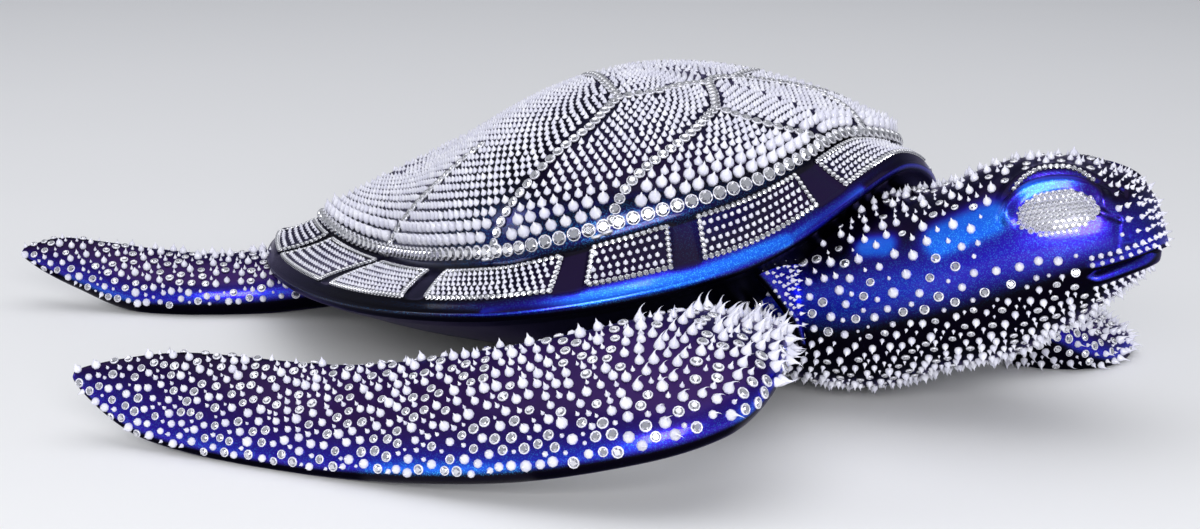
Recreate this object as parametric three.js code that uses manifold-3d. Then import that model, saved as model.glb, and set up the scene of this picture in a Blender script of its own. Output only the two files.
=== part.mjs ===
// A sea turtle sculpture: one glossy casting of shell, neck, head, flippers and tail, with rows of
// touching crystals on the shell, crystal-paved eyes and a crystal row over each eye.
// Millimetres, +Z up, +X towards the snout, +Y to the turtle's left. It rests on its flippers,
// chest and the back of its belly.
import * as THREE from "three";
import { mergeVertices } from "three/addons/utils/BufferGeometryUtils.js";
import Module from "manifold-3d";

const wasm = await Module();
wasm.setup();
const { PI, sin, cos, abs, exp, sign, min, max, hypot, floor } = Math;

// ---- Driving dimensions ----
const SHELL_WIDTH = 567; // rim to rim
const SHELL_FRONT = 220; // from the widest place to the front of the rim
const SHELL_REAR = 433; // from the widest place to the tail end of the rim
const DOME_TOP = 163; // above the level of the rim
const DOME_TOP_X = -21;
const PITCH = (8.5 * PI) / 180; // the shell is carried front up
const FLOOR = -81; // the level it is cut flat at, before it is moved up to stand on zero
// The rim band at the front, the shoulder, the side, the rear quarter and the tail.
const RIM_LEVEL = [65, 12, 0, 11, 22];
const BAND_WIDTH = [52, 24, 53, 96, 55];
const BAND_HEIGHT = [30, 56, 37, 14, 25];
const PLAN_FULLNESS = [1, 0.89, 1, 0.97, 1];
const ROW_WIDTH = 9; // large touching crystals along the dome's edge
const ROW_HEIGHT = 4.1;
const SCUTE_ROW_WIDTH = 7.7;
const SCUTE_ROW_HEIGHT = 3.8;
const BORDER_WIDTH = 4.6; // small touching crystals round each panel of the rim band
const BORDER_HEIGHT = 2.8;
const GAP = 0.35; // clearance between the casting and what is set on it
const LIFT = 1.3; // of the underside of a row of crystals above the smooth surface

const AROUND = 60; // facets round the shell
const DOME_LEVELS = 8; // from the dome's foot to its top
const LIP_HEIGHT = 15; // of the rolled outer edge of the rim band
const UNDER_LIP = 7;
const PAINT = new THREE.MeshStandardMaterial({ color: 0x2a1690, roughness: 0.22, metalness: 0.85 });
const CRYSTAL = new THREE.MeshStandardMaterial({ color: 0xe4e6f2, roughness: 0.12, metalness: 0.5 });

const lerp = (a, b, t) => a + (b - a) * t;
const clamp01 = (t) => min(1, max(0, t));
const smooth = (t) => clamp01(t) ** 2 * (3 - 2 * clamp01(t));
const turned = (angle) => ((((angle + PI) % (2 * PI)) + 2 * PI) % (2 * PI)) - PI;
const bump = (angle, width) => exp(-((turned(angle) / width) ** 2));
const V = (x, y, z) => new THREE.Vector3(x, y, z);

// A smooth value along a piece, through evenly spaced stations, level at both ends.
function along(values, t) {
  const last = values.length - 1;
  const s = clamp01(t) * last;
  const i = min(last - 1, floor(s));
  const f = s - i;
  const p0 = values[abs(i - 1)];
  const p1 = values[i];
  const p2 = values[i + 1];
  const p3 = values[i + 2 > last ? last - 1 : i + 2];
  const bend = (2 * p0 - 5 * p1 + 4 * p2 - p3) * f * f + (3 * p1 - p0 - 3 * p2 + p3) * f * f * f;
  return 0.5 * (2 * p1 + (p2 - p0) * f + bend);
}

// ---- Closed surfaces ----
function closed(points, index) {
  const geometry = new THREE.BufferGeometry().setFromPoints(points);
  geometry.setIndex(index);
  return geometry;
}

// A skin over rings of equal length, with a fan closing each end.
function loft(rings) {
  const n = rings[0].length;
  const points = rings.flat();
  const middle = (ring) => ring.reduce((s, p) => s.add(p), V(0, 0, 0)).divideScalar(n);
  const first = points.length;
  points.push(middle(rings[0]), middle(rings[rings.length - 1]));
  const index = [];
  for (let i = 0; i + 1 < rings.length; i++) {
    for (let j = 0; j < n; j++) {
      const a = i * n + j;
      const b = i * n + ((j + 1) % n);
      index.push(a, b, a + n, b, b + n, a + n);
    }
  }
  const end = (rings.length - 1) * n;
  for (let j = 0; j < n; j++) {
    const k = (j + 1) % n;
    index.push(first, k, j, first + 1, end + j, end + k);
  }
  return closed(points, index);
}

// A bar whose cross-section rings join end to end round a closed path.
function hoop(rings) {
  const n = rings[0].length;
  const index = [];
  for (let i = 0; i < rings.length; i++) {
    for (let j = 0; j < n; j++) {
      const k = (j + 1) % n;
      const a = i * n;
      const b = ((i + 1) % rings.length) * n;
      index.push(a + j, a + k, b + j, a + k, b + k, b + j);
    }
  }
  return closed(rings.flat(), index);
}

function manifoldOf(geometry) {
  const bare = new THREE.BufferGeometry();
  bare.setAttribute("position", geometry.attributes.position.clone());
  bare.setIndex(geometry.index.clone());
  const merged = mergeVertices(bare, 1e-4);
  const vertProperties = new Float32Array(merged.attributes.position.array);
  const triVerts = new Uint32Array(merged.index.array);
  const made = new wasm.Manifold(new wasm.Mesh({ numProp: 3, vertProperties, triVerts }));
  if (made.volume() >= 0) return made;
  for (let i = 0; i < triVerts.length; i += 3) {
    [triVerts[i + 1], triVerts[i + 2]] = [triVerts[i + 2], triVerts[i + 1]];
  }
  return new wasm.Manifold(new wasm.Mesh({ numProp: 3, vertProperties, triVerts }));
}

function geometryOf(manifold) {
  const mesh = manifold.getMesh();
  const geometry = new THREE.BufferGeometry();
  const positions = new Float32Array(mesh.vertProperties);
  geometry.setAttribute("position", new THREE.BufferAttribute(positions, 3));
  geometry.setIndex(new THREE.BufferAttribute(new Uint32Array(mesh.triVerts), 1));
  return geometry;
}

const joined = (parts) => parts.reduce((all, next) => all.add(next));

// The largest body of a solid, without the slivers that cutting leaves.
const SLIVER = 0.05;
function tidied(manifold) {
  const bodies = manifold.asOriginal().simplify(SLIVER).decompose();
  return bodies.reduce((best, body) => (body.volume() > best.volume() ? body : best));
}

// ---- Shell ----
// Points of the shell are made level, then pitched front up.
function pitched(p) {
  const c = cos(PITCH);
  const s = sin(PITCH);
  return V(p.x * c - p.z * s, p.y, p.x * s + p.z * c);
}

// Where an angle stands between the front (0) and the tail (1), the same on both sides.
const towardTail = (angle) => abs(turned(angle)) / PI;
function plan(angle) {
  const c = cos(angle);
  const s = sin(angle);
  const half = (SHELL_WIDTH / 2) * along(PLAN_FULLNESS, towardTail(angle));
  const x = (c > 0 ? SHELL_FRONT : SHELL_REAR) * c;
  return V(x, half * sign(s) * abs(s) ** (c > 0 ? 1.17 : 1.72), 0);
}

const rimLevel = (angle) => along(RIM_LEVEL, towardTail(angle));
const bandWidth = (angle) => along(BAND_WIDTH, towardTail(angle));
const bandHeight = (angle) => along(BAND_HEIGHT, towardTail(angle));

function fromRim(angle, inward, up) {
  const p = plan(angle);
  const shrink = 1 - inward / hypot(p.x, p.y);
  return V(p.x * shrink, p.y * shrink, rimLevel(angle) + up);
}

// The rim band: v runs from the lip (0) to the foot of the dome (1).
function band(angle, v) {
  const width = bandWidth(angle);
  const height = bandHeight(angle);
  const lip = smooth(v / 0.16);
  const hollow = 1.5 * sin(PI * v);
  return fromRim(angle, width * v, lerp(UNDER_LIP, LIP_HEIGHT, lip) + (height - LIP_HEIGHT) * v - hollow);
}

// The dome: s runs from its foot (0) to its top (1).
function dome(angle, s) {
  const foot = fromRim(angle, bandWidth(angle), bandHeight(angle) + 2);
  const power = 0.97 + 0.53 * bump(angle, 0.9) + 0.85 * bump(angle - PI, 0.75);
  const shrink = cos((s * PI) / 2) ** power;
  const rise = sin((s * PI) / 2) ** power;
  return V(lerp(DOME_TOP_X, foot.x, shrink), foot.y * shrink, lerp(foot.z, DOME_TOP, rise));
}

function under(angle, r, z, share) {
  const p = plan(angle);
  return V(p.x * r, p.y * r, z + rimLevel(angle) * share);
}

function shellSkin() {
  const levels = [
    (a) => under(a, 0.3, -50, 0),
    (a) => under(a, 0.55, -44, 0),
    (a) => under(a, 0.75, -27, 0.2),
    (a) => under(a, 0.89, -12, 0.7),
    (a) => under(a, 0.965, -4, 1),
    (a) => fromRim(a, 3, 0),
    (a) => fromRim(a, 0, UNDER_LIP),
    (a) => band(a, 0.13),
    (a) => band(a, 0.55),
    (a) => band(a, 0.97),
  ];
  for (let i = 0; i < DOME_LEVELS; i++) levels.push((a) => dome(a, (i / DOME_LEVELS) ** 1.15));
  levels.push((a) => dome(a, 0.95));
  const angles = Array.from({ length: AROUND }, (_, j) => (j / AROUND) * 2 * PI);
  return loft(levels.map((level) => angles.map((a) => pitched(level(a)))));
}

// ---- Neck and head ----
const HEAD = {
  x: [50, 130, 195, 250, 300, 342, 379, 406, 421],
  top: [38, 44, 48, 54, 70, 72, 63, 49, 12],
  bottom: [-70, -93, -101, -87, -77, -57, -34, -15, 0],
  half: [98, 106, 102, 92, 81, 71, 57, 38, 12],
};
function headSkin(n, m) {
  const rings = [];
  for (let i = 0; i <= m; i++) {
    const t = i / m;
    const top = along(HEAD.top, t);
    const bottom = along(HEAD.bottom, t);
    const tall = (top - bottom) / 2;
    rings.push(
      Array.from({ length: n }, (_, j) => {
        const c = cos((j / n) * 2 * PI);
        const s = sin((j / n) * 2 * PI);
        const y = along(HEAD.half, t) * sign(c) * abs(c) ** 0.9;
        return pitched(V(along(HEAD.x, t), y, (top + bottom) / 2 + tall * sign(s) * abs(s) ** 0.9));
      }),
    );
  }
  return loft(rings);
}

// ---- Flippers: the thick leading edge and the thin trailing edge, from shoulder to tip ----
const RIGHT_FLIPPER = {
  lead: {
    x: [150, 212, 248, 252, 208, 109, -25, -159, -221],
    y: [-110, -205, -280, -340, -388, -418, -443, -462, -470],
    z: [-40, -12, -12, -22, -40, -66, -79, -74, -39],
  },
  trail: {
    x: [70, 140, 157, 168, 153, 92, -29, -158, -220],
    y: [-80, -140, -185, -245, -300, -345, -380, -425, -468],
    z: [-15, -12, 8, 26, 29, 12, -16, -18, -31],
  },
  thick: [56, 50, 50, 50, 46, 40, 33, 24, 8],
};
const LEFT_FLIPPER = {
  lead: {
    x: [190, 256, 300, 320, 300, 184, 40, -100, -165],
    y: [60, 110, 158, 205, 262, 335, 390, 425, 432],
    z: [-15, -22, -46, -72, -76, -72, -68, -62, -38],
  },
  trail: {
    x: [80, 140, 196, 236, 225, 140, 20, -106, -167],
    y: [80, 95, 112, 143, 195, 262, 320, 375, 428],
    z: [0, -25, -58, -72, -64, -50, -42, -36, -31],
  },
  thick: [70, 60, 54, 48, 45, 40, 33, 24, 8],
};
const RIGHT_HIND = {
  lead: {
    x: [-290, -351, -405, -457, -504, -536, -558],
    y: [-75, -110, -150, -175, -190, -200, -205],
    z: [-60, -72, -77, -76, -62, -49, -37],
  },
  trail: {
    x: [-330, -394, -422, -473, -500, -534, -556],
    y: [-20, -60, -100, -130, -158, -180, -203],
    z: [-25, -36, -36, -32, -25, -22, -30],
  },
  thick: [50, 46, 42, 37, 30, 21, 7],
};
const LEFT_HIND = {
  lead: {
    x: [-290, -351, -405, -457, -504, -536, -558],
    y: [75, 110, 150, 185, 212, 230, 238],
    z: [-60, -72, -77, -78, -75, -71, -65],
  },
  trail: {
    x: [-330, -394, -422, -473, -500, -534, -556],
    y: [20, 60, 100, 138, 175, 208, 235],
    z: [-25, -42, -50, -54, -56, -58, -61],
  },
  thick: [50, 46, 42, 37, 30, 21, 7],
};
const pointOn = (edge, t) => V(along(edge.x, t), along(edge.y, t), along(edge.z, t));
function flipperSkin(flipper, n, m) {
  const rings = [];
  for (let i = 0; i <= m; i++) {
    const t = i / m;
    const lead = pointOn(flipper.lead, t);
    const trail = pointOn(flipper.trail, t);
    const chord = trail.clone().sub(lead);
    const ahead = pointOn(flipper.lead, min(1, t + 0.02)).add(pointOn(flipper.trail, min(1, t + 0.02)));
    const behind = pointOn(flipper.lead, max(0, t - 0.02)).add(pointOn(flipper.trail, max(0, t - 0.02)));
    const run = ahead.sub(behind).normalize();
    const normal = run.cross(chord).normalize();
    if (normal.z < 0) normal.negate();
    const thick = along(flipper.thick, t);
    rings.push(
      Array.from({ length: n }, (_, j) => {
        const a = (j / n) * 2 * PI;
        const across = (1 - cos(a)) / 2;
        const fullness = 0.5 * sin(a) * lerp(1.12, 0.55, across);
        const p = lead.clone().addScaledVector(chord, across).addScaledVector(normal, thick * fullness);
        return p;
      }),
    );
  }
  return loft(rings);
}

// ---- Bars of touching crystals, laid on a surface ----
// Each place on a path has a point, the surface's outward normal and the way across the bar.
function crossSection(place, width, height) {
  const out = (across, up) =>
    place.point.clone().addScaledVector(place.across, across * width).addScaledVector(place.normal, up);
  return [out(-0.5, LIFT), out(0.5, LIFT), out(0.3, height), out(-0.3, height)];
}

function placesOn(surface, path, ring) {
  const points = path.map(([a, b]) => surface(a, b));
  return path.map(([a, b], i) => {
    const step = 0.004;
    const alongA = surface(a + step, b).sub(surface(a - step, b));
    const alongB = surface(a, b + step).sub(surface(a, b - step));
    const normal = alongA.cross(alongB).normalize();
    const n = path.length;
    const next = points[ring ? (i + 1) % n : min(n - 1, i + 1)];
    const last = points[ring ? (i + n - 1) % n : max(0, i - 1)];
    const run = next.clone().sub(last);
    const across = normal.clone().cross(run).normalize();
    return { point: points[i], normal, across };
  });
}

const bar = (places, width, height) => loft(places.map((place) => crossSection(place, width, height)));
const ringBar = (places, width, height) => hoop(places.map((place) => crossSection(place, width, height)));
const onDome = (angle, s) => pitched(dome(angle, max(0.002, s)));
const onBand = (angle, v) => pitched(band(angle, v));

// Where a rising value between two limits reaches a target.
function reached(value, target, low, high) {
  let from = low;
  let to = high;
  for (let i = 0; i < 40; i++) {
    const mid = (from + to) / 2;
    if (value(mid) < target) from = mid;
    else to = mid;
  }
  return from;
}

// The place on the dome above a point of the plan, as an angle and a height.
function domePlace(x, y) {
  const heading = (angle) => {
    const foot = dome(angle, 0);
    return Math.atan2(abs(foot.y), foot.x - DOME_TOP_X);
  };
  const angle = reached(heading, Math.atan2(abs(y), x - DOME_TOP_X), 0, PI);
  const inward = (s) => -hypot(dome(angle, s).x - DOME_TOP_X, dome(angle, s).y);
  const s = reached(inward, -hypot(x - DOME_TOP_X, y), 0, 1);
  return [y < 0 ? -angle : angle, s];
}

// Rows between the scutes, in plan. The first two cross the middle; the left side mirrors the rest.
const MIDDLE_ROWS = [
  [[99, -75], [82, -48], [62, -20], [56, 0], [62, 20], [82, 48], [99, 75]],
  [[31, -107], [-20, -56], [-66, 0], [-20, 56], [31, 107]],
];
const SIDE_ROWS = [
  [[176, -22], [155, -49], [128, -69], [99, -75]],
  [[62, -20], [56, -50], [50, -81], [31, -107]],
  [[99, -75], [104, -112], [101, -145], [84, -192], [72, -222]],
  [[31, -107], [34, -140], [32, -164], [10, -209], [-24, -232]],
  [[-74, -150], [-115, -150], [-165, -132], [-225, -112]],
];
const EDGE_ROW = 0.035; // how far up the dome its edge row lies
const ROW_STEP = 0.12; // each row stands a little lower than the one it meets
function domeRows() {
  const edge = Array.from({ length: AROUND }, (_, j) => [(j / AROUND) * 2 * PI, EDGE_ROW]);
  const parts = [ringBar(placesOn(onDome, edge, true), ROW_WIDTH, ROW_HEIGHT)];
  const mirrored = SIDE_ROWS.map((row) => row.map(([x, y]) => [x, -y]));
  for (const row of [...MIDDLE_ROWS, ...SIDE_ROWS, ...mirrored]) {
    const path = [];
    const steps = 2 * (row.length - 1);
    for (let i = 0; i <= steps; i++) {
      const x = along(row.map((p) => p[0]), i / steps);
      const y = along(row.map((p) => p[1]), i / steps);
      path.push(domePlace(x, y));
    }
    const height = SCUTE_ROW_HEIGHT - ROW_STEP * (parts.length % SIDE_ROWS.length);
    parts.push(bar(placesThrough(path), SCUTE_ROW_WIDTH, height));
  }
  return joined(parts.map(manifoldOf));
}
// The same as placesOn for a path that may run over the middle of the dome.
function placesThrough(path) {
  const points = path.map(([a, b]) => onDome(a, b));
  return path.map(([a, b], i) => {
    const reach = 2;
    const centre = dome(a, b);
    const east = domePlace(centre.x + reach, centre.y);
    const north = domePlace(centre.x, centre.y + reach);
    const alongX = onDome(...east).sub(points[i]);
    const alongY = onDome(...north).sub(points[i]);
    const normal = alongX.cross(alongY).normalize();
    const run = points[min(path.length - 1, i + 1)].clone().sub(points[max(0, i - 1)]);
    const across = normal.clone().cross(run).normalize();
    return { point: points[i], normal, across };
  });
}

// ---- Panels of the rim band ----
// Where each panel of the right side begins and ends, as degrees round the lip.
const PANEL_ENDS = [
  [-18.5, 18.5],
  [26.5, 49.5],
  [55.6, 69.4],
  [75.8, 97],
  [101, 116.5],
  [120.5, 143],
  [147, 166],
];
const PANEL_FOOT = 0.15;
const PANEL_HEAD = 0.85;
// The ends of the rear panels lean back towards the dome.
function lean(degrees, v) {
  const most = 15 * smooth((degrees - 80) / 40) * smooth((185 - degrees) / 30);
  return degrees + most * (v - PANEL_FOOT);
}
function panelBorder([from, to], side) {
  const corners = [
    [from, PANEL_FOOT],
    [to, PANEL_FOOT],
    [to, PANEL_HEAD],
    [from, PANEL_HEAD],
  ];
  const path = [];
  corners.forEach(([a, v], k) => {
    const [b, w] = corners[(k + 1) % 4];
    const steps = v === w ? 3 : 1;
    for (let i = 0; i < steps; i++) {
      const height = lerp(v, w, i / steps);
      const degrees = lean(lerp(a, b, i / steps), height);
      path.push([(side * degrees * PI) / 180, height]);
    }
  });
  return ringBar(placesOn(onBand, path, true), BORDER_WIDTH, BORDER_HEIGHT);
}

// ---- Face ----
// Each eye is an almond-shaped pad of small crystals under a heavy lid, with a row of crystals above.
const EYE = { x: 362, y: 52, z: 36, length: 60, height: 33, bulge: 6, facets: 14 };
const LID = { reach: 34, rise: 20, radius: 6 };
const BROW = { reach: 36, rise: 30, radius: 3 };
const ARCH_STEPS = 8;
function eyeFrame(side) {
  const forward = V(0.93, side * -0.36, 0.06).normalize();
  const outward = V(0.31, side * 0.86, 0.4).normalize();
  outward.addScaledVector(forward, -outward.dot(forward)).normalize();
  const upward = forward.clone().cross(outward).multiplyScalar(side);
  return { centre: V(EYE.x, side * EYE.y, EYE.z), forward, outward, upward };
}
function eyePoint(frame, u, w, out) {
  return frame.centre
    .clone()
    .addScaledVector(frame.forward, u)
    .addScaledVector(frame.upward, w)
    .addScaledVector(frame.outward, out);
}
function eyePad(side) {
  const frame = eyeFrame(side);
  const rings = [];
  const spans = [
    [1, -9],
    [1, 2],
    [0.86, EYE.bulge * 0.75],
    [0.5, EYE.bulge * 1.15],
    [0.12, EYE.bulge * 1.3],
  ];
  for (const [size, out] of spans) {
    const ring = [];
    for (let j = 0; j < EYE.facets; j++) {
      const a = (j / EYE.facets) * 2 * PI;
      const u = (EYE.length / 2) * cos(a);
      const w = (EYE.height / 2) * sign(sin(a)) * abs(sin(a)) ** 1.35;
      ring.push(pitched(eyePoint(frame, u * size, w * size, out)));
    }
    rings.push(ring);
  }
  return loft(rings);
}
// A round bar along an arch over the eye.
function archOverEye(side, arch) {
  const frame = eyeFrame(side);
  const at = (a) => eyePoint(frame, arch.reach * cos(a), arch.rise * sin(a), -1);
  const rings = [];
  for (let i = 0; i <= ARCH_STEPS; i++) {
    const t = i / ARCH_STEPS;
    const a = lerp(PI * 1.02, -PI * 0.02, t);
    const centre = at(a).addScaledVector(frame.outward, 0.5 * cos(a) ** 2);
    const run = at(a - 0.05).sub(at(a + 0.05)).normalize();
    const across = run.cross(frame.outward).normalize();
    const r = arch.radius * (0.35 + 0.65 * sin(PI * (0.06 + 0.88 * t)) ** 0.5);
    const ring = [];
    for (let j = 0; j < 6; j++) {
      const b = (j / 6) * 2 * PI;
      const p = centre.clone().addScaledVector(frame.outward, r * cos(b));
      ring.push(pitched(p.addScaledVector(across, r * sin(b))));
    }
    rings.push(ring);
  }
  return loft(rings);
}

// The slot between the lips.
function mouthSlot() {
  const rings = [];
  for (let i = 0; i <= 12; i++) {
    const a = lerp(-1.25, 1.25, i / 12);
    const x = 372 + 48 * cos(a);
    const y = 50 * sin(a);
    const z = -10 + 9 * cos(a) ** 2;
    const outward = V(cos(a), sin(a) * 1.1, 0).normalize();
    const at = (out, up) => pitched(V(x, y, z + up).addScaledVector(outward, out));
    rings.push([at(-7, -0.6), at(9, -2.2), at(9, 2.2), at(-7, 0.6)]);
  }
  return loft(rings);
}

// ---- Everything together ----
const pieces = [
  shellSkin(),
  headSkin(20, 14),
  flipperSkin(RIGHT_FLIPPER, 14, 18),
  flipperSkin(LEFT_FLIPPER, 14, 18),
  flipperSkin(RIGHT_HIND, 12, 10),
  flipperSkin(LEFT_HIND, 12, 10),
];
for (const side of [1, -1]) pieces.push(archOverEye(side, LID));
const whole = joined(pieces.map(manifoldOf));
const below = new THREE.BoxGeometry(2000, 2000, 400).translate(0, 0, FLOOR - 200);
const casting = tidied(whole.subtract(manifoldOf(below)).subtract(manifoldOf(mouthSlot())));

// The casting grown by the clearance, to trim what is set on it.
function grown(manifold, by) {
  const geometry = geometryOf(manifold);
  geometry.computeVertexNormals();
  const p = geometry.attributes.position;
  const n = geometry.attributes.normal;
  for (let i = 0; i < p.count; i++) {
    p.setXYZ(i, p.getX(i) + n.getX(i) * by, p.getY(i) + n.getY(i) * by, p.getZ(i) + n.getZ(i) * by);
  }
  return manifoldOf(geometry);
}
const clearance = grown(casting, GAP);

// The whole is moved so that the middle of its footprint is at the origin and it stands on zero.
const box = casting.boundingBox();
const middle = (k) => (box.min[k] + box.max[k]) / 2;
const group = new THREE.Group();
group.name = "sea_turtle_sculpture";
function put(name, manifold, material) {
  const mesh = new THREE.Mesh(geometryOf(manifold), material);
  mesh.name = name;
  mesh.position.set(-middle(0), -middle(1), -FLOOR);
  group.add(mesh);
}
// What is laid on the casting is trimmed clear of it.
const trimmed = (manifold) => tidied(tidied(manifold).subtract(clearance));

put("turtle_casting", casting, PAINT);
put("dome_crystal_rows", trimmed(domeRows()), CRYSTAL);
PANEL_ENDS.forEach((ends, k) => {
  for (const side of k === 0 ? [1] : [-1, 1]) {
    const word = k === 0 ? "front" : `${side < 0 ? "right" : "left"}_${k}`;
    put(`panel_crystals_${word}`, trimmed(manifoldOf(panelBorder(ends, side))), CRYSTAL);
  }
});
for (const side of [-1, 1]) {
  const word = side < 0 ? "right" : "left";
  put(`eye_crystals_${word}`, trimmed(manifoldOf(eyePad(side))), CRYSTAL);
  put(`brow_crystals_${word}`, trimmed(manifoldOf(archOverEye(side, BROW))), CRYSTAL);
}
export default group;
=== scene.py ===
# A sea turtle sculpture: a glossy violet-blue casting set with white cones and crystals.
# Shapes are worked out in millimetres, in the turtle's own frame: +X towards the snout, +Y to its
# left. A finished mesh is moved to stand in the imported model's frame and turned into metres.
import math
import random
from math import pi, sin, cos, hypot

import bmesh
import bpy
from mathutils import Matrix, Vector


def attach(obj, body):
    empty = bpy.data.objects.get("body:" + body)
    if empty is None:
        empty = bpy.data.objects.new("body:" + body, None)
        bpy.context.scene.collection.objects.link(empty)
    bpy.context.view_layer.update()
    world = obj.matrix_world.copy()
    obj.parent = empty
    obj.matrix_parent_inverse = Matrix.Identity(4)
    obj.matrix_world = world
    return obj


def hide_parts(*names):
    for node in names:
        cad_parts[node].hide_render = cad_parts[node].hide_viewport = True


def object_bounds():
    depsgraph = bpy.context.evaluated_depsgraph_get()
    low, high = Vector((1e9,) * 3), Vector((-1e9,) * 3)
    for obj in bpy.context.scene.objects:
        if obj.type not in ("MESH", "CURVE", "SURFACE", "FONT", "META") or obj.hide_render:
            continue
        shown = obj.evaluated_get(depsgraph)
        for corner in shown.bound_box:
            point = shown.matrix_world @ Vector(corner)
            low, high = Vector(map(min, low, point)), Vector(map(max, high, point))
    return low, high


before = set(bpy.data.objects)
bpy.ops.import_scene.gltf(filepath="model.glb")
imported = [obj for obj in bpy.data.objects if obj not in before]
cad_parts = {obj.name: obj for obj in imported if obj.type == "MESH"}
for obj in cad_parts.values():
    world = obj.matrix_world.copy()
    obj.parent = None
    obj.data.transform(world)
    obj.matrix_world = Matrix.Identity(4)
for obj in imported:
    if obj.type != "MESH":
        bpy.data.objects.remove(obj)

cad_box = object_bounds()

# ---- Driving sizes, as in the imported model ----
SHELL_WIDTH = 567
SHELL_FRONT = 220
SHELL_REAR = 433
DOME_TOP = 163
DOME_TOP_X = -21
PITCH = math.radians(8.5)
FLOOR = -81
METRE = 0.001
# The turtle's lowest corner in its own frame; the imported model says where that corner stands.
LOW_CORNER = Vector((-559.33, -472.34, FLOOR))
PLACE = cad_box[0] / METRE - LOW_CORNER
# The rim band at the front, the shoulder, the side, the rear quarter and the tail.
RIM_LEVEL = (65, 12, 0, 11, 22)
BAND_WIDTH = (52, 24, 53, 96, 55)
BAND_HEIGHT = (30, 56, 37, 14, 25)
PLAN_FULLNESS = (1, 0.89, 1, 0.97, 1)
LIP_HEIGHT = 15
UNDER_LIP = 7
SIDES = ((-1, "right"), (1, "left"))


def lerp(a, b, t):
    return a + (b - a) * t


def clamp01(t):
    return min(1.0, max(0.0, t))


def smooth(t):
    t = clamp01(t)
    return t * t * (3 - 2 * t)


def turned(angle):
    return (angle + pi) % (2 * pi) - pi


def bump(x, width):
    return math.exp(-((x / width) ** 2))


def signed_power(value, power):
    return math.copysign(abs(value) ** power, value)


def along(values, t):
    """A smooth value along a piece, through evenly spaced stations, level at both ends."""
    last = len(values) - 1
    s = clamp01(t) * last
    i = min(last - 1, int(s))
    f = s - i
    p0 = values[abs(i - 1)]
    p1 = values[i]
    p2 = values[i + 1]
    p3 = values[last - 1 if i + 2 > last else i + 2]
    bend = (2 * p0 - 5 * p1 + 4 * p2 - p3) * f * f + (3 * p1 - p0 - 3 * p2 + p3) * f * f * f
    return 0.5 * (2 * p1 + (p2 - p0) * f + bend)


def pitched(p):
    """The shell and head are worked out level, then carried front up."""
    c = cos(PITCH)
    s = sin(PITCH)
    return Vector((p[0] * c - p[2] * s, p[1], p[0] * s + p[2] * c))


# ---- The shell's surfaces ----
def plan(angle):
    c = cos(angle)
    half = SHELL_WIDTH / 2 * along(PLAN_FULLNESS, abs(turned(angle)) / pi)
    x = (SHELL_FRONT if c > 0 else SHELL_REAR) * c
    return x, half * signed_power(sin(angle), 1.17 if c > 0 else 1.72)


def round_rim(values, angle):
    return along(values, abs(turned(angle)) / pi)


def from_rim(angle, inward, up):
    x, y = plan(angle)
    shrink = 1 - inward / hypot(x, y)
    return Vector((x * shrink, y * shrink, round_rim(RIM_LEVEL, angle) + up))


def band(angle, v, sink=0.0):
    """The rim band: v runs from the lip (0) to the foot of the dome (1)."""
    width = round_rim(BAND_WIDTH, angle)
    height = round_rim(BAND_HEIGHT, angle)
    lip = lerp(UNDER_LIP, LIP_HEIGHT, smooth(v / 0.16))
    up = lip + (height - LIP_HEIGHT) * v - 1.5 * sin(pi * v) - sink
    return from_rim(angle, width * v, up)


def dome(angle, s):
    """The dome: s runs from its foot (0) to its top (1)."""
    foot = from_rim(angle, round_rim(BAND_WIDTH, angle), round_rim(BAND_HEIGHT, angle) + 2)
    power = 0.97 + 0.53 * bump(turned(angle), 0.9) + 0.85 * bump(turned(angle - pi), 0.75)
    shrink = cos(s * pi / 2) ** power
    rise = sin(s * pi / 2) ** power
    return Vector((lerp(DOME_TOP_X, foot.x, shrink), foot.y * shrink, lerp(foot.z, DOME_TOP, rise)))


def on_dome(angle, s):
    return pitched(dome(angle, max(0.002, s)))


def on_band(angle, v):
    return pitched(band(angle, v))


# Where each panel of the rim band begins and ends, as degrees round the lip. The first crosses
# the front; the rest are mirrored.
PANEL_ENDS = (
    (-18.5, 18.5),
    (26.5, 49.5),
    (55.6, 69.4),
    (75.8, 97),
    (101, 116.5),
    (120.5, 143),
    (147, 166),
)
PANEL_FOOT = 0.15
PANEL_HEAD = 0.85
# Steps along each edge of a panel, and along each row of its cones.
EDGE_OF_PANEL = 12
ROW_OF_PANEL = 40


def lean(degrees, v):
    """The ends of the rear panels lean back towards the dome."""
    most = 15 * smooth((degrees - 80) / 40) * smooth((185 - degrees) / 30)
    return most * (v - PANEL_FOOT)


CHANNEL_DEPTH = 2.4
# How far a panel's raised bed reaches past its ends, and the slope at its edge, in degrees.
BED_MARGIN = 1.2
BED_SLOPE = 1.3


def channel(angle, v):
    """How far the paint sinks between the raised beds of the panels."""
    degrees = abs(math.degrees(turned(angle)))
    for start, end in PANEL_ENDS:
        middle = (start + end) / 2
        inside = (end - start) / 2 + BED_MARGIN - abs(degrees - lean(middle, v) - middle)
        if inside > 0:
            return CHANNEL_DEPTH * (1 - smooth(inside / BED_SLOPE))
    return CHANNEL_DEPTH


# ---- Neck and head ----
HEAD_X = (50, 130, 195, 250, 300, 342, 379, 406, 421)
HEAD_TOP = (38, 44, 48, 54, 70, 72, 63, 49, 12)
HEAD_BOTTOM = (-70, -93, -101, -87, -77, -57, -34, -15, 0)
HEAD_HALF = (98, 106, 102, 92, 81, 71, 57, 38, 12)
EYE = Vector((362, 52, 36))
EYE_LENGTH = 65
EYE_HEIGHT = 37
MOUTH_X = 372
MOUTH_REACH = Vector((48, 50))


def eye_axes(side):
    """Forward, upward and outward of an eye; side is -1 on the turtle's right."""
    forward = Vector((0.93, side * -0.36, 0.06)).normalized()
    outward = Vector((0.31, side * 0.86, 0.4)).normalized()
    outward = (outward - forward * outward.dot(forward)).normalized()
    return forward, forward.cross(outward) * side, outward


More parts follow.
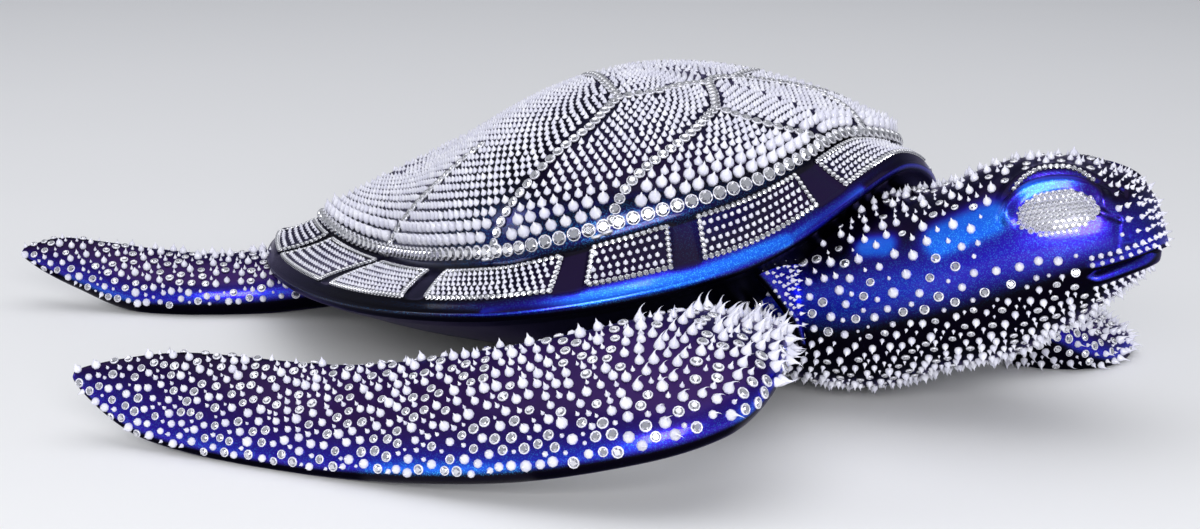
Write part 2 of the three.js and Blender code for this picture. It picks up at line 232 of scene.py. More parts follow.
def eye_point(side, u, w, out):
    forward, upward, outward = eye_axes(side)
    centre = Vector((EYE.x, side * EYE.y, EYE.z))
    return centre + forward * u + upward * w + outward * out


def in_eye(p):
    """A point of the head as distances ahead of, above and out from the middle of its eye."""
    side = 1 if p.y > 0 else -1
    forward, upward, outward = eye_axes(side)
    d = p - Vector((EYE.x, side * EYE.y, EYE.z))
    return d.dot(forward), d.dot(upward), d.dot(outward)


def from_arch(u, w, reach, rise):
    """Roughly how far a place lies outside the arch of that reach and rise over an eye."""
    e = hypot(u / reach, w / rise)
    return hypot(u, w) * (1 - 1 / max(e, 0.05))


def mouth_level(a):
    return -10 + 9 * cos(a) ** 2


def mouth_angle(p):
    return math.atan2(p.y / MOUTH_REACH.y, (p.x - MOUTH_X) / MOUTH_REACH.x)


def from_line(p, a, b):
    """How far a point is from the line between two points, on its own side of the head."""
    q = Vector((p.x, abs(p.y), p.z))
    run = b - a
    t = clamp01((q - a).dot(run) / run.length_squared)
    return (q - a - run * t).length


# Seams between the plates before the eye: both ends, the depth and the width.
FACE_SEAMS = (
    (Vector((391, 45, 37)), Vector((403, 38, 29)), 1.6, 2.2),
    (Vector((403, 38, 29)), Vector((402, 41, 11)), 1.3, 2.2),
    (Vector((402, 22, 49)), Vector((408, 35, 16)), 1.5, 2.2),
    (Vector((386, 28, 56)), Vector((402, 22, 49)), 1.2, 2.4),
    (Vector((407, 36, 8)), Vector((417, 16, 9)), 0.6, 3.0),
)


def face_relief(p):
    """How far the face stands out of the plain head: lids, brow, lips and the plates' seams."""
    out = 0.0
    u, w, near = in_eye(p)
    if abs(u) < 62 and abs(w) < 52 and near > -40:
        above = smooth((w + 9) / 14)
        ends = smooth((50 - abs(u)) / 18)
        over = smooth((w - 10) / 10) * ends
        lid = 6.5 * bump(from_arch(u, w, 36, 24.5), 5.5) * above * ends
        crease = 5.0 * bump(from_arch(u, w, 39, 33), 2.8) * over
        brow = 2.5 * bump(from_arch(u, w, 38, 41), 4.5) * over
        out += lid - crease + brow
    if p.x > 350 and -40 < p.z < 30:
        a = mouth_angle(p)
        across = p.z - mouth_level(a)
        ends = smooth((1.42 - abs(a)) / 0.2) * (1 - 0.7 * smooth((p.x - 412) / 8))
        mouth = 6.5 * bump(across, 1.9) * ends
        lower_lip = 2.6 * bump(across + 6, 3.4) * ends
        upper_lip = 1.4 * bump(across - 5, 3.0) * ends
        out += lower_lip + upper_lip - mouth
    if p.x > 320:
        for a, b, depth, width in FACE_SEAMS:
            out -= depth * bump(from_line(p, a, b), width)
    return out


def head_point(t, turn):
    top = along(HEAD_TOP, t)
    bottom = along(HEAD_BOTTOM, t)
    y = along(HEAD_HALF, t) * signed_power(cos(turn), 0.9)
    z = (top + bottom) / 2 + (top - bottom) / 2 * signed_power(sin(turn), 0.9)
    return Vector((along(HEAD_X, t), y, z))


# ---- Flippers: the thick leading edge and the thin trailing edge, from shoulder to tip ----
# The web between the neck and the right shoulder, as its outer and inner edges.
SHOULDER_FOLD = (
    ((143, 155, 165, 173, 179), (-157, -139, -124, -113, -107), (47, 30, 10, -8, -26)),
    ((156, 164, 170, 174, 177), (-88, -91, -96, -99, -103), (76, 44, 16, -6, -26)),
    (16, 14, 12, 10, 6),
)
RIGHT_THICK = (56, 50, 50, 50, 46, 40, 33, 24, 8)
FRONT_THICK = (70, 60, 54, 50, 46, 40, 33, 24, 8)
HIND_THICK = (50, 46, 42, 37, 30, 21, 7)
HIND_LEAD_X = (-290, -351, -405, -457, -504, -536, -558)
HIND_TRAIL_X = (-330, -394, -422, -473, -500, -534, -556)
FLIPPERS = {
    "right_front_flipper": (
        (
            (150, 212, 248, 252, 208, 109, -25, -159, -221),
            (-110, -205, -280, -340, -388, -418, -443, -462, -470),
            (-40, -12, -12, -22, -40, -66, -79, -74, -39),
        ),
        (
            (70, 140, 157, 168, 153, 92, -29, -158, -220),
            (-80, -140, -185, -245, -300, -345, -380, -425, -468),
            (-15, -12, 8, 26, 29, 12, -16, -18, -31),
        ),
        RIGHT_THICK,
    ),
    "left_front_flipper": (
        (
            (190, 256, 300, 320, 300, 184, 40, -100, -165),
            (60, 110, 158, 205, 262, 335, 390, 425, 432),
            (-15, -22, -46, -72, -76, -72, -68, -62, -38),
        ),
        (
            (80, 140, 196, 236, 225, 140, 20, -106, -167),
            (80, 95, 112, 143, 195, 262, 320, 375, 428),
            (0, -25, -58, -72, -64, -50, -42, -36, -31),
        ),
        FRONT_THICK,
    ),
    "right_hind_flipper": (
        (
            HIND_LEAD_X,
            (-75, -110, -150, -175, -190, -200, -205),
            (-60, -72, -77, -76, -62, -49, -37),
        ),
        (
            HIND_TRAIL_X,
            (-20, -60, -100, -130, -158, -180, -203),
            (-25, -36, -36, -32, -25, -22, -30),
        ),
        HIND_THICK,
    ),
    "left_hind_flipper": (
        (
            HIND_LEAD_X,
            (75, 110, 150, 185, 212, 230, 238),
            (-60, -72, -77, -78, -75, -71, -65),
        ),
        (
            HIND_TRAIL_X,
            (20, 60, 100, 138, 175, 208, 235),
            (-25, -42, -50, -54, -56, -58, -61),
        ),
        HIND_THICK,
    ),
}


TIP_START = 0.955


def flipper_ring(flipper, t, count):
    lead, trail, thick = flipper

    def at(edge, u):
        return Vector([along(axis, clamp01(u)) for axis in edge])

    front = at(lead, t)
    chord = at(trail, t) - front
    run = at(lead, t + 0.02) + at(trail, t + 0.02) - at(lead, t - 0.02) - at(trail, t - 0.02)
    normal = run.cross(chord).normalized()
    if normal.z < 0:
        normal.negate()
    ring = []
    rounding = math.sqrt(max(0.02, 1 - (max(0.0, t - TIP_START) / (1 - TIP_START)) ** 2))
    front += chord * (0.5 - 0.5 * rounding)
    chord *= rounding
    for j in range(count):
        a = j / count * 2 * pi
        across = (1 - cos(a)) / 2
        fullness = 0.5 * sin(a) * lerp(1.12, 0.55, across) * rounding
        p = front + chord * across + normal * (along(thick, t) * fullness)
        p.z = max(p.z, FLOOR + 0.2)
        ring.append(p)
    return ring


# Painted highlights, where the lacquer is coloured cyan as a lamp's reflection would show: lines on the
# right side, with a reach and a strength.
PAINTED_HIGHLIGHTS = (
    ((199, -60, 91), (175, -130, 60), 4, 0.7),
    ((175, -130, 60), (131, -192, 36), 5.5, 1.2),
    ((131, -192, 36), (73, -249, 21), 6, 1.2),
    ((73, -249, 21), (6, -281, 9), 5, 0.9),
    ((217, -84, 53), (232, -82, 55), 9, 1.2),
    ((274, -78, 64), (310, -70, 84), 13, 1.5),
    ((333, -58, 106), (362, -50, 117), 10, 1.0),
    ((132, -413, -62), (30, -434, -74), 12, 1.2),
    ((240, -262, -10), (252, -330, -19), 14, 0.8),
    ((-457, -175, -74), (-512, -192, -56), 11, 0.9),
)


def painted_highlight_at(p):
    """How strongly a painted highlight shows on the lacquer at a point, up to about 1."""
    q = Vector((p.x, -abs(p.y), p.z))
    most = 0.0
    for start, end, reach, strength in PAINTED_HIGHLIGHTS:
        a = Vector(start)
        run = Vector(end) - a
        t = clamp01((q - a).dot(run) / run.length_squared)
        away = (q - a - run * t).length
        if away < reach * 2:
            most = max(most, strength * bump(away, reach))
    return most


def shell_painted_shade(p, ring):
    """Painted shade: the shell's lacquer is darkened towards the tail and along the foot of the dome.
    """
    return max(smooth((70 - p.x) / 130), 0.9 if ring in DOME_FOOT else 0)


def flipper_painted_shade(p, ring):
    """Painted shade: a flipper's lacquer is darkened towards its tip and its upper, rear edge."""
    return 0.8 * smooth((90 - p.x) / 240) * smooth((p.z + 62) / 50)


# No painted shade on this piece.
def no_painted_shade(p, ring):
    return 0.0


# ---- Meshes ----
def piece_of(name, points, faces, material, painted_light=None):
    """A piece in place, from points in the turtle's own frame; the last argument, if given, is a value
    for each point: painted highlight above 0 and painted shade below.
    """
    mesh = bpy.data.meshes.new(name)
    mesh.from_pydata([(p + PLACE) * METRE for p in points], [], faces)
    work = bmesh.new()
    work.from_mesh(mesh)
    bmesh.ops.recalc_face_normals(work, faces=work.faces)
    work.to_mesh(mesh)
    work.free()
    mesh.polygons.foreach_set("use_smooth", [True] * len(mesh.polygons))
    mesh.materials.append(material)
    if painted_light:
        mesh.attributes.new("painted_light", "FLOAT", "POINT").data.foreach_set("value", painted_light)
    made = bpy.data.objects.new(name, mesh)
    bpy.context.scene.collection.objects.link(made)
    return made


def loft_faces(rings, count):
    """Quads between rings of equal length, and a fan to an added middle point at each end."""
    faces = []
    for i in range(rings - 1):
        for j in range(count):
            k = (j + 1) % count
            faces.append((i * count + j, i * count + k, (i + 1) * count + k, (i + 1) * count + j))
    end = (rings - 1) * count
    for j in range(count):
        k = (j + 1) % count
        faces.append((rings * count, k, j))
        faces.append((rings * count + 1, end + j, end + k))
    return faces


def loft(name, rings, material, painted_shade=None):
    count = len(rings[0])
    points = [p for ring in rings for p in ring]
    for ring in (rings[0], rings[-1]):
        points.append(sum(ring, Vector()) / count)
    painted_light = None
    if painted_shade:
        # Each point's painted highlight, less its painted shade.
        painted_light = [painted_highlight_at(p) - painted_shade(p, i) for i, ring in enumerate(rings) for p in ring] + [0, 0]
    return piece_of(name, points, loft_faces(len(rings), count), material, painted_light)


UNDER_REACH = (0.02, 0.3, 0.55, 0.75, 0.89, 0.965)
UNDER_LEVEL = (-52, -50, -44, -27, -12, -4)
UNDER_SHARE = (0, 0, 0, 0.2, 0.7, 1)
ROUND_SHELL = 600
UNDER_RINGS = 14
LIP_RINGS = 5
BAND_RINGS = 30
DOME_RINGS = 54
# The rings on both sides of the dome's foot.
FOOT_RING = UNDER_RINGS + LIP_RINGS + BAND_RINGS
DOME_FOOT = range(FOOT_RING - 3, FOOT_RING + 9)


def shell_rings():
    levels = [("under", i / (UNDER_RINGS - 1)) for i in range(UNDER_RINGS)]
    levels += [("lip", i / LIP_RINGS) for i in range(LIP_RINGS)]
    levels += [("band", (i / BAND_RINGS) ** 1.25) for i in range(BAND_RINGS + 1)]
    levels += [("dome", 0.985 * i / DOME_RINGS) for i in range(DOME_RINGS + 1)]
    rings = []
    for kind, t in levels:
        ring = []
        for j in range(ROUND_SHELL):
            angle = j / ROUND_SHELL * 2 * pi
            if kind == "under":
                x, y = plan(angle)
                reach = along(UNDER_REACH, t)
                z = along(UNDER_LEVEL, t) + along(UNDER_SHARE, t) * round_rim(RIM_LEVEL, angle)
                p = Vector((x * reach, y * reach, z))
            elif kind == "lip":
                p = from_rim(angle, 3 * (1 - sin(t * pi / 2)), UNDER_LIP * (1 - cos(t * pi / 2)))
            elif kind == "band":
                ends = smooth((t - 0.1) / 0.06) * smooth((0.99 - t) / 0.05)
                rails = max(smooth((0.15 - t) / 0.05), smooth((t - 0.86) / 0.05))
                sink = ends * max(channel(angle, t), CHANNEL_DEPTH * rails)
                p = band(angle, t, sink)
            else:
                p = dome(angle, t)
            ring.append(pitched(p))
        rings.append(ring)
    return rings


HEAD_RINGS = 170
ROUND_HEAD = 240


def head_rings():
    rings = []
    for i in range(HEAD_RINGS + 1):
        t = i / HEAD_RINGS
        ring = []
        for j in range(ROUND_HEAD):
            turn = j / ROUND_HEAD * 2 * pi
            p = head_point(t, turn)
            out = Vector((0.25 * smooth((t - 0.5) / 0.3), cos(turn), sin(turn))).normalized()
            ring.append(pitched(p + out * face_relief(p)))
        rings.append(ring)
    return rings


# ---- Shader maths ----
class Sock:
    """A socket that can be used in a sum; each operation adds its Math node."""

    def __init__(self, shader, socket):
        self.shader = shader
        self.socket = socket

    def _math(self, operation, other, swapped=False):
        first, second = (other, self) if swapped else (self, other)
        return self.shader.node("ShaderNodeMath", {"operation": operation}, {0: first, 1: second})

    def __add__(self, other):
        return self._math("ADD", other)

    __radd__ = __add__

    def __sub__(self, other):
        return self._math("SUBTRACT", other)

    def __rsub__(self, other):
        return self._math("SUBTRACT", other, swapped=True)

    def __mul__(self, other):
        return self._math("MULTIPLY", other)

    __rmul__ = __mul__

    def __abs__(self):
        return self._math("ABSOLUTE", 0)

    def above(self, start, end):
        """0 below start, 1 above end, and smooth between."""
        return self.shader.node(
            "ShaderNodeMapRange",
            {"interpolation_type": "SMOOTHSTEP"},
            {"Value": self, "From Min": start, "From Max": end},
        )


class Shader:
    """A material's node tree, with one method that adds any node."""

    def __init__(self, name):
        self.material = bpy.data.materials.new(name)
        self.material.use_nodes = True
        self.tree = self.material.node_tree
        self.surface = self.tree.nodes["Principled BSDF"]

    def node(self, kind, settings=None, values=None, output=0):
        made = self.tree.nodes.new(kind)
        for key, value in (settings or {}).items():
            setattr(made, key, value)
        for key, value in (values or {}).items():
            self.set(made.inputs[key], value)
        return Sock(self, made.outputs[output])

    def set(self, socket, value):
        if isinstance(value, Sock):
            self.tree.links.new(value.socket, socket)
        elif isinstance(value, tuple) and len(value) == 3 and socket.type == "RGBA":
            socket.default_value = (*value, 1)
        else:
            socket.default_value = value

    def finish(self, **values):
        """Sets the shader's own sockets, named with _ for a space."""
        for key, value in values.items():
            self.set(self.surface.inputs[key.replace("_", " ")], value)
        return self.material

    def place(self):
        return self.node("ShaderNodeTexCoord", output=3)

    def mix(self, mask, first, second):
        settings = {"data_type": "RGBA"}
        return self.node("ShaderNodeMix", settings, {0: mask, 6: first, 7: second}, output=2)

    def noise(self, scale, detail=3.0, roughness=0.5):
        values = {"Vector": self.place(), "Scale": scale, "Detail": detail, "Roughness": roughness}
        return self.node("ShaderNodeTexNoise", None, values)


VIOLET = (0.035, 0.006, 0.34)
BLUE = (0.018, 0.008, 0.5)
# Painted shade: the dark of faces that look up, on the body and on the flippers, and the black of
# painted shade underneath and in dark places.
PAINTED_TOP_SHADE = (0.008, 0.003, 0.025)
PAINTED_PURPLE_TOP_SHADE = (0.032, 0.012, 0.088)
PAINTED_SHADE_BLACK = (0.002, 0.001, 0.005)
# The colour of painted highlights.
PAINTED_HIGHLIGHT_CYAN = (0.006, 0.16, 1.0)
# The colour of painted glints on the flakes.
PAINTED_FLAKE_GLINT = (0.05, 0.45, 1.0)


def lacquer(name, top_shade_colour, top_shade_from, top_shade_to):
    """Lacquer with metal flakes, violet-blue on the sides, with painted cyan highlights, painted shade
    dark on top and black underneath.
    """
    s = Shader(name)
    normal = s.node("ShaderNodeNewGeometry", output=1)
    ahead = s.node("ShaderNodeSeparateXYZ", None, {0: normal}, output=0)
    aside = abs(s.node("ShaderNodeSeparateXYZ", None, {0: normal}, output=1))
    up = s.node("ShaderNodeSeparateXYZ", None, {0: normal}, output=2)
    cloud = s.noise(6.0) - 0.5
    sides = s.mix(cloud.above(-0.2, 0.06), VIOLET, BLUE)
    patches = s.noise(7.0, 1.0).above(0.45, 0.58)
    # Painted highlight: cyan on faces that look out sideways, in patches, where a lamp's reflection
    # would fall.
    painted_highlight = (ahead * 0.3 + aside * 0.94 + up * 0.15 + cloud * 0.06).above(0.93, 1.0) * patches
    # The per-point painted highlight, and painted shade where it is below 0.
    painted_highlight_and_shade = s.node("ShaderNodeAttribute", {"attribute_name": "painted_light"}, output=2) + cloud * 0.15
    painted_highlight = painted_highlight * 0.15 + painted_highlight_and_shade.above(0.2, 1.0)
    sides = s.mix(painted_highlight * 0.85, sides, PAINTED_HIGHLIGHT_CYAN)
    # Painted shade: darker where the surface faces up.
    painted_top_shade = (up + cloud * 0.4).above(top_shade_from, top_shade_to) * (1 - painted_highlight_and_shade.above(0, 0.5) * 0.7)
    top = s.mix(painted_top_shade, sides, top_shade_colour)
    # Painted shade: black where the surface faces down.
    under = s.mix((0 - up + cloud * 0.3).above(-0.12, 0.25), top, PAINTED_SHADE_BLACK)
    # Painted shade: black where the per-point value is below 0.
    body = s.mix((0 - painted_highlight_and_shade).above(0.1, 1.1), under, PAINTED_SHADE_BLACK)
    cells = {"Vector": s.place(), "Scale": 1700.0}
    sparkle = s.node("ShaderNodeTexVoronoi", {"feature": "F1"}, cells, output=1)
    chance = s.node("ShaderNodeSeparateColor", None, {0: sparkle})
    lit = (0 - up).above(-0.75, -0.2) * up.above(-0.3, 0.1)
    # Painted glints: some flakes are coloured bright, only on faces that look mostly sideways and most
    # in the painted highlights.
    painted_light = chance.above(0.72, 0.96) * lit * (painted_highlight * 0.8 + 0.2)
    colour = s.mix(painted_light, body, PAINTED_FLAKE_GLINT)
    tilt = s.node("ShaderNodeBump", None, {"Strength": 0.1, "Distance": 0.0005, "Height": chance})
    rough = 0.26 + painted_light * 0.12 + s.noise(60.0) * 0.06
    return s.finish(
        Base_Color=colour,
        Metallic=0.9 - painted_highlight * 0.5,
        Roughness=rough,
        Normal=tilt,
        Coat_Weight=0.38 * up.above(-0.35, 0.15) * (1 - up.above(0.3, 0.8) * 0.75),
        Coat_Roughness=0.1,
        Specular_IOR_Level=0.3,
        Specular_Tint=(0.3, 0.25, 0.5),
    )


def enamel():
    """White enamel of the cones, a little lilac where it is thick."""
    s = Shader("white_enamel")
    colour = s.mix(s.noise(90.0).above(0.35, 0.7), (0.66, 0.66, 0.78), (0.82, 0.82, 0.9))
    return s.finish(Base_Color=colour, Roughness=0.28 + s.noise(200.0) * 0.1, Coat_Weight=0.4)


def crystal(name, least):
    """Clear facetted glass with a foiled back: each facet is painted lighter or darker by its own
    share, a painted reflection of the backing or of what is behind.
    """
    s = Shader(name)
    painted_facet_light = s.node("ShaderNodeAttribute", {"attribute_name": "painted_facet_light"}, output=2)
    # Painted reflection: a lighter and more metallic facet shows more of the backing.
    foil_and_painted_reflection = painted_facet_light * (1 - least) + least
    colour = s.mix(foil_and_painted_reflection, (0.45, 0.45, 0.52), (0.95, 0.95, 1.0))
    return s.finish(
        Base_Color=colour,
        Metallic=foil_and_painted_reflection * 0.8,
        Roughness=0.06 + s.noise(300.0) * 0.05,
        IOR=1.55,
        Transmission_Weight=0.8,
        Coat_Weight=0.5,
        Coat_Roughness=0.03,
    )


def silver(name, dark, pale):
    """Metal of the settings round the larger stones, and the duller metal under the eyes'."""
    s = Shader(name)
    colour = s.mix(s.noise(150.0).above(0.4, 0.65), dark, pale)
    return s.finish(Base_Color=colour, Metallic=0.35, Roughness=0.24 + s.noise(400.0) * 0.1)


def plain_floor():
    s = Shader("pale_floor")
    return s.finish(Base_Color=(0.86, 0.86, 0.87), Roughness=s.noise(3.0) * 0.1 + 0.6)


# ---- Stud shapes, a unit in radius, standing on their base along +Z ----
def turned_mesh(name, profile, sides, twist=0.0, painted_facet_lights=None, flat=False, point=None, hook=()):
    """A shape turned from (radius, height) pairs, closed below and by a point or a flat top.

    hook is how far each ring, and last the point, is carried sideways.
    """
    mesh = bpy.data.meshes.new(name)
    points = []
    for i, (radius, height) in enumerate(profile):
        aside = hook[i] if hook else 0
        for j in range(sides):
            a = (j + twist * i) / sides * 2 * pi
            points.append((radius * cos(a) + aside, radius * sin(a), height))
    faces = [tuple(reversed(range(sides)))]
    for i in range(len(profile) - 1):
        for j in range(sides):
            k = (j + 1) % sides
            a, b = i * sides + j, i * sides + k
            if twist and i:
                faces += [(a, b, a + sides), (b, b + sides, a + sides)]
            else:
                faces.append((a, b, b + sides, a + sides))
    top = (len(profile) - 1) * sides
    if point is None:
        faces.append(tuple(range(top, top + sides)))
    else:
        points.append((hook[-1] if hook else 0, 0, point))
        for j in range(sides):
            faces.append((top + j, top + (j + 1) % sides, len(points) - 1))
    mesh.from_pydata(points, [], faces)
    mesh.polygons.foreach_set("use_smooth", [not flat] * len(faces))
    if painted_facet_lights:
        # Each facet gets its share of painted reflection.
        painted_facet_light = mesh.attributes.new("painted_facet_light", "FLOAT", "FACE")
        painted_facet_light.data.foreach_set("value", [painted_facet_lights[i * 5 % len(painted_facet_lights)] for i in range(len(faces))])
    made = bpy.data.objects.new(name, mesh)
    bpy.context.scene.collection.objects.link(made)
    return made


def ring_mesh(name, sides, profile):
    """A closed ring turned from a loop of (radius, height) pairs."""
    mesh = bpy.data.meshes.new(name)
    points = []
    for radius, height in profile:
        for j in range(sides):
            a = j / sides * 2 * pi
            points.append((radius * cos(a), radius * sin(a), height))
    faces = []
    for i in range(len(profile)):
        for j in range(sides):
            k = (j + 1) % sides
            below = i * sides
            above = (i + 1) % len(profile) * sides
            faces.append((below + j, below + k, above + k, above + j))
    mesh.from_pydata(points, [], faces)
    mesh.polygons.foreach_set("use_smooth", [True] * len(faces))
    made = bpy.data.objects.new(name, mesh)
    bpy.context.scene.collection.objects.link(made)
    return made


# Painted reflection: how light each facet in turn is painted, as its share of the foiled backing that
# it shows.
PAINTED_FACET_LIGHTS = (1.0, 0.35, 0.85, 0.12, 0.95, 0.55, 0.2, 0.75, 0.05, 0.65, 0.9)


def stud_shapes():
    return {
        "hooked_cone": turned_mesh(
            "hooked_cone",
            ((0.98, -0.3), (1.02, 0.35), (0.72, 0.95), (0.3, 1.6), (0.13, 2.25), (0.06, 2.8)),
            8,
            point=3.2,
            hook=(0, 0, 0, 0.05, 0.25, 0.7, 1.3),
        ),
        "drop": turned_mesh(
            "drop",
            ((0.95, -0.3), (1.02, 0.45), (0.74, 1.05), (0.28, 1.5)),
            8,
            point=2.3,
            hook=(0, 0, 0, 0.04, 0.2),
        ),
        "spike": turned_mesh(
            "spike",
            ((1.0, -0.4), (0.96, 0.35), (0.42, 1.05)),
            6,
            point=2.5,
            hook=(0, 0, 0, 0.1),
        ),
        "nub": turned_mesh(
            "nub",
            ((1.0, -0.4), (0.95, 0.3), (0.5, 0.8)),
            6,
            point=1.7,
            hook=(0, 0, 0.1, 0.45),
        ),
        "stone": turned_mesh(
            "stone",
            ((1.0, -0.3), (1.0, 0.3), (0.62, 0.62)),
            8,
            twist=0.5,
            painted_facet_lights=PAINTED_FACET_LIGHTS,
            flat=True,
        ),
        "chip": turned_mesh(
            "chip",
            ((1.0, -0.3), (0.98, 0.3), (0.55, 0.62)),
            6,
            twist=0.5,
            painted_facet_lights=PAINTED_FACET_LIGHTS,
            flat=True,
        ),
        "bezel": ring_mesh("bezel", 10, ((1.0, -0.1), (1.03, 0.3), (0.84, 0.44), (0.76, 0.2))),
        "rim": ring_mesh("rim", 10, ((1.0, -0.1), (1.03, 0.3), (0.9, 0.4), (0.86, 0.2))),
    }


# ---- Fields of studs, by Geometry Nodes ----
def stud_tree():
    """Sets a stud on each point, stood along `facing` and turned so that its hook runs `toward`."""
    tree = bpy.data.node_groups.new("set_studs", "GeometryNodeTree")
    sockets = {}
    for name, kind in (
        ("Places", "NodeSocketGeometry"),
        ("Stud", "NodeSocketObject"),
        ("Radius", "NodeSocketFloat"),
        ("Unevenness", "NodeSocketFloat"),
        ("Seed", "NodeSocketInt"),
        ("Finish", "NodeSocketMaterial"),
    ):
        sockets[name] = tree.interface.new_socket(name, in_out="INPUT", socket_type=kind).identifier
    tree.interface.new_socket("Studs", in_out="OUTPUT", socket_type="NodeSocketGeometry")

    def node(kind, links=(), **settings):
        made = tree.nodes.new(kind)
        for key, value in settings.items():
            setattr(made, key, value)
        for target, source in links:
            if hasattr(source, "is_output"):
                tree.links.new(source, made.inputs[target])
            else:
                made.inputs[target].default_value = source
        return made

    given = node("NodeGroupInput").outputs
    stud = node("GeometryNodeObjectInfo", [("Object", given["Stud"])])
    facing = node("GeometryNodeInputNamedAttribute", [("Name", "facing")], data_type="FLOAT_VECTOR")
    toward = node("GeometryNodeInputNamedAttribute", [("Name", "toward")], data_type="FLOAT_VECTOR")
    size = node("GeometryNodeInputNamedAttribute", [("Name", "size")], data_type="FLOAT")
    stood = node("FunctionNodeAlignRotationToVector", [("Vector", facing.outputs[0])], axis="Z")
    hooked = node(
        "FunctionNodeAlignRotationToVector",
        [("Rotation", stood.outputs[0]), ("Vector", toward.outputs[0])],
        axis="X",
        pivot_axis="Z",
    )
    least = node("ShaderNodeMath", [(0, 1.0), (1, given["Unevenness"])], operation="SUBTRACT")
    most = node("ShaderNodeMath", [(0, 1.0), (1, given["Unevenness"])], operation="ADD")
    chance = node("FunctionNodeRandomValue", [("Seed", given["Seed"])], data_type="FLOAT")
    tree.links.new(least.outputs[0], chance.inputs[2])
    tree.links.new(most.outputs[0], chance.inputs[3])
    sized = node("ShaderNodeMath", [(0, size.outputs[0]), (1, chance.outputs[1])], operation="MULTIPLY")
    scale = node("ShaderNodeMath", [(0, sized.outputs[0]), (1, given["Radius"])], operation="MULTIPLY")
    studs = node(
        "GeometryNodeInstanceOnPoints",
        [
            ("Points", given["Places"]),
            ("Instance", stud.outputs["Geometry"]),
            ("Rotation", hooked.outputs[0]),
            ("Scale", scale.outputs[0]),
        ],
    )
    real = node("GeometryNodeRealizeInstances", [("Geometry", studs.outputs[0])])
    coated = node(
        "GeometryNodeSetMaterial", [("Geometry", real.outputs[0]), ("Material", given["Finish"])]
    )
    out = node("NodeGroupOutput")
    tree.links.new(coated.outputs[0], out.inputs[0])
    return tree, sockets


STUD_SEED = 1


class Stud:
    """Where one stud stands: its foot, the way it faces, the way its point leans and its size."""

    def __init__(self, point, facing, toward, radius):
        self.point = point
        self.facing = facing
        self.toward = toward
        self.radius = radius


def set_studs(name, studs, shape, finish, uneven, replaced=()):
    """One piece holding a stud of the given shape at each place; it replaces the named nodes."""
    tree, sockets = STUD_TREE
    places = bpy.data.meshes.new(name)
    places.from_pydata([(s.point + PLACE) * METRE for s in studs], [], [])
    for key in ("facing", "toward"):
        data = places.attributes.new(key, "FLOAT_VECTOR", "POINT").data
        data.foreach_set("vector", [c for s in studs for c in getattr(s, key)])
    sizes = places.attributes.new("size", "FLOAT", "POINT").data
    sizes.foreach_set("value", [s.radius for s in studs])
    made = bpy.data.objects.new(name, places)
    bpy.context.scene.collection.objects.link(made)
    modifier = made.modifiers.new("studs", "NODES")
    modifier.node_group = tree
    modifier[sockets["Stud"]] = SHAPES[shape]
    modifier[sockets["Radius"]] = METRE
    modifier[sockets["Unevenness"]] = uneven
    modifier[sockets["Seed"]] = STUD_SEED
    modifier[sockets["Finish"]] = finish
    graph = bpy.context.evaluated_depsgraph_get()
    mesh = bpy.data.meshes.new_from_object(made.evaluated_get(graph))
    made.modifiers.clear()
    made.data = mesh
    if not mesh.materials:
        mesh.materials.append(finish)
    show(made, replaced)


def show(made, replaced=()):
    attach(made, "root")
    if replaced:
        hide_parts(*replaced)


class Taken:
    """The places already set, in cubes, so that near ones are found quickly."""

    CELL = 22

    def __init__(self):
        self.cubes = {}

    def key(self, p):
        return tuple(int(c // self.CELL) for c in p)

    def free(self, p, reach):
        x, y, z = self.key(p)
        for i in (x - 1, x, x + 1):
            for j in (y - 1, y, y + 1):
                for k in (z - 1, z, z + 1):
                    for q, other in self.cubes.get((i, j, k), ()):
                        if (p - q).length_squared < (reach + other) ** 2:
                            return False
        return True

    def add(self, p, reach):
        self.cubes.setdefault(self.key(p), []).append((p, reach))


UP = Vector((0, 0, 1))


def leaning(facing, pull):
    """The way along the surface that a pull drags a stud's point."""
    across = pull - facing * pull.dot(facing)
    return across.normalized() if across.length > 1e-4 else facing.orthogonal().normalized()


# ---- Rows of touching crystals ----
EDGE_ROW = 0.035
EDGE_STEPS = 360
# Rows between the dome's scutes, as places in plan; the side rows are mirrored.
MIDDLE_ROWS = (
    ((99, -75), (82, -48), (62, -20), (56, 0), (62, 20), (82, 48), (99, 75)),
    ((31, -107), (-20, -56), (-66, 0), (-20, 56), (31, 107)),
)
SIDE_ROWS = (
    ((176, -22), (155, -49), (128, -69), (99, -75)),
    ((62, -20), (56, -50), (50, -81), (31, -107)),
    ((99, -75), (104, -112), (101, -145), (84, -192), (72, -222)),
    ((31, -107), (34, -140), (32, -164), (10, -209), (-24, -232)),
    ((-74, -150), (-115, -150), (-165, -132), (-225, -112)),
)
EDGE_STONE = 5.3
SCUTE_STONE = 4.2
BORDER_STONE = 2.35


def reached(value, target, low, high):
    """Where a rising value between two limits reaches a target."""
    for _ in range(30):
        mid = (low + high) / 2
        if value(mid) < target:
            low = mid
        else:
            high = mid
    return low


def dome_place(x, y):
    """The place on the dome above a point of the plan, as an angle and a height."""

    def heading(angle):
        foot = dome(angle, 0)
        return math.atan2(abs(foot.y), foot.x - DOME_TOP_X)

    angle = reached(heading, math.atan2(abs(y), x - DOME_TOP_X), 0, pi)

    def inward(s):
        p = dome(angle, s)
        return -hypot(p.x - DOME_TOP_X, p.y)

    s = reached(inward, -hypot(x - DOME_TOP_X, y), 0, 1)
    return (-angle if y < 0 else angle), s


def facing_of(surface, a, b, step=0.004):
    """The outward normal of a surface at (a, b)."""
    along_a = surface(a + step, b) - surface(a - step, b)
    along_b = surface(a, b + step) - surface(a, b - step)
    return along_a.cross(along_b).normalized()


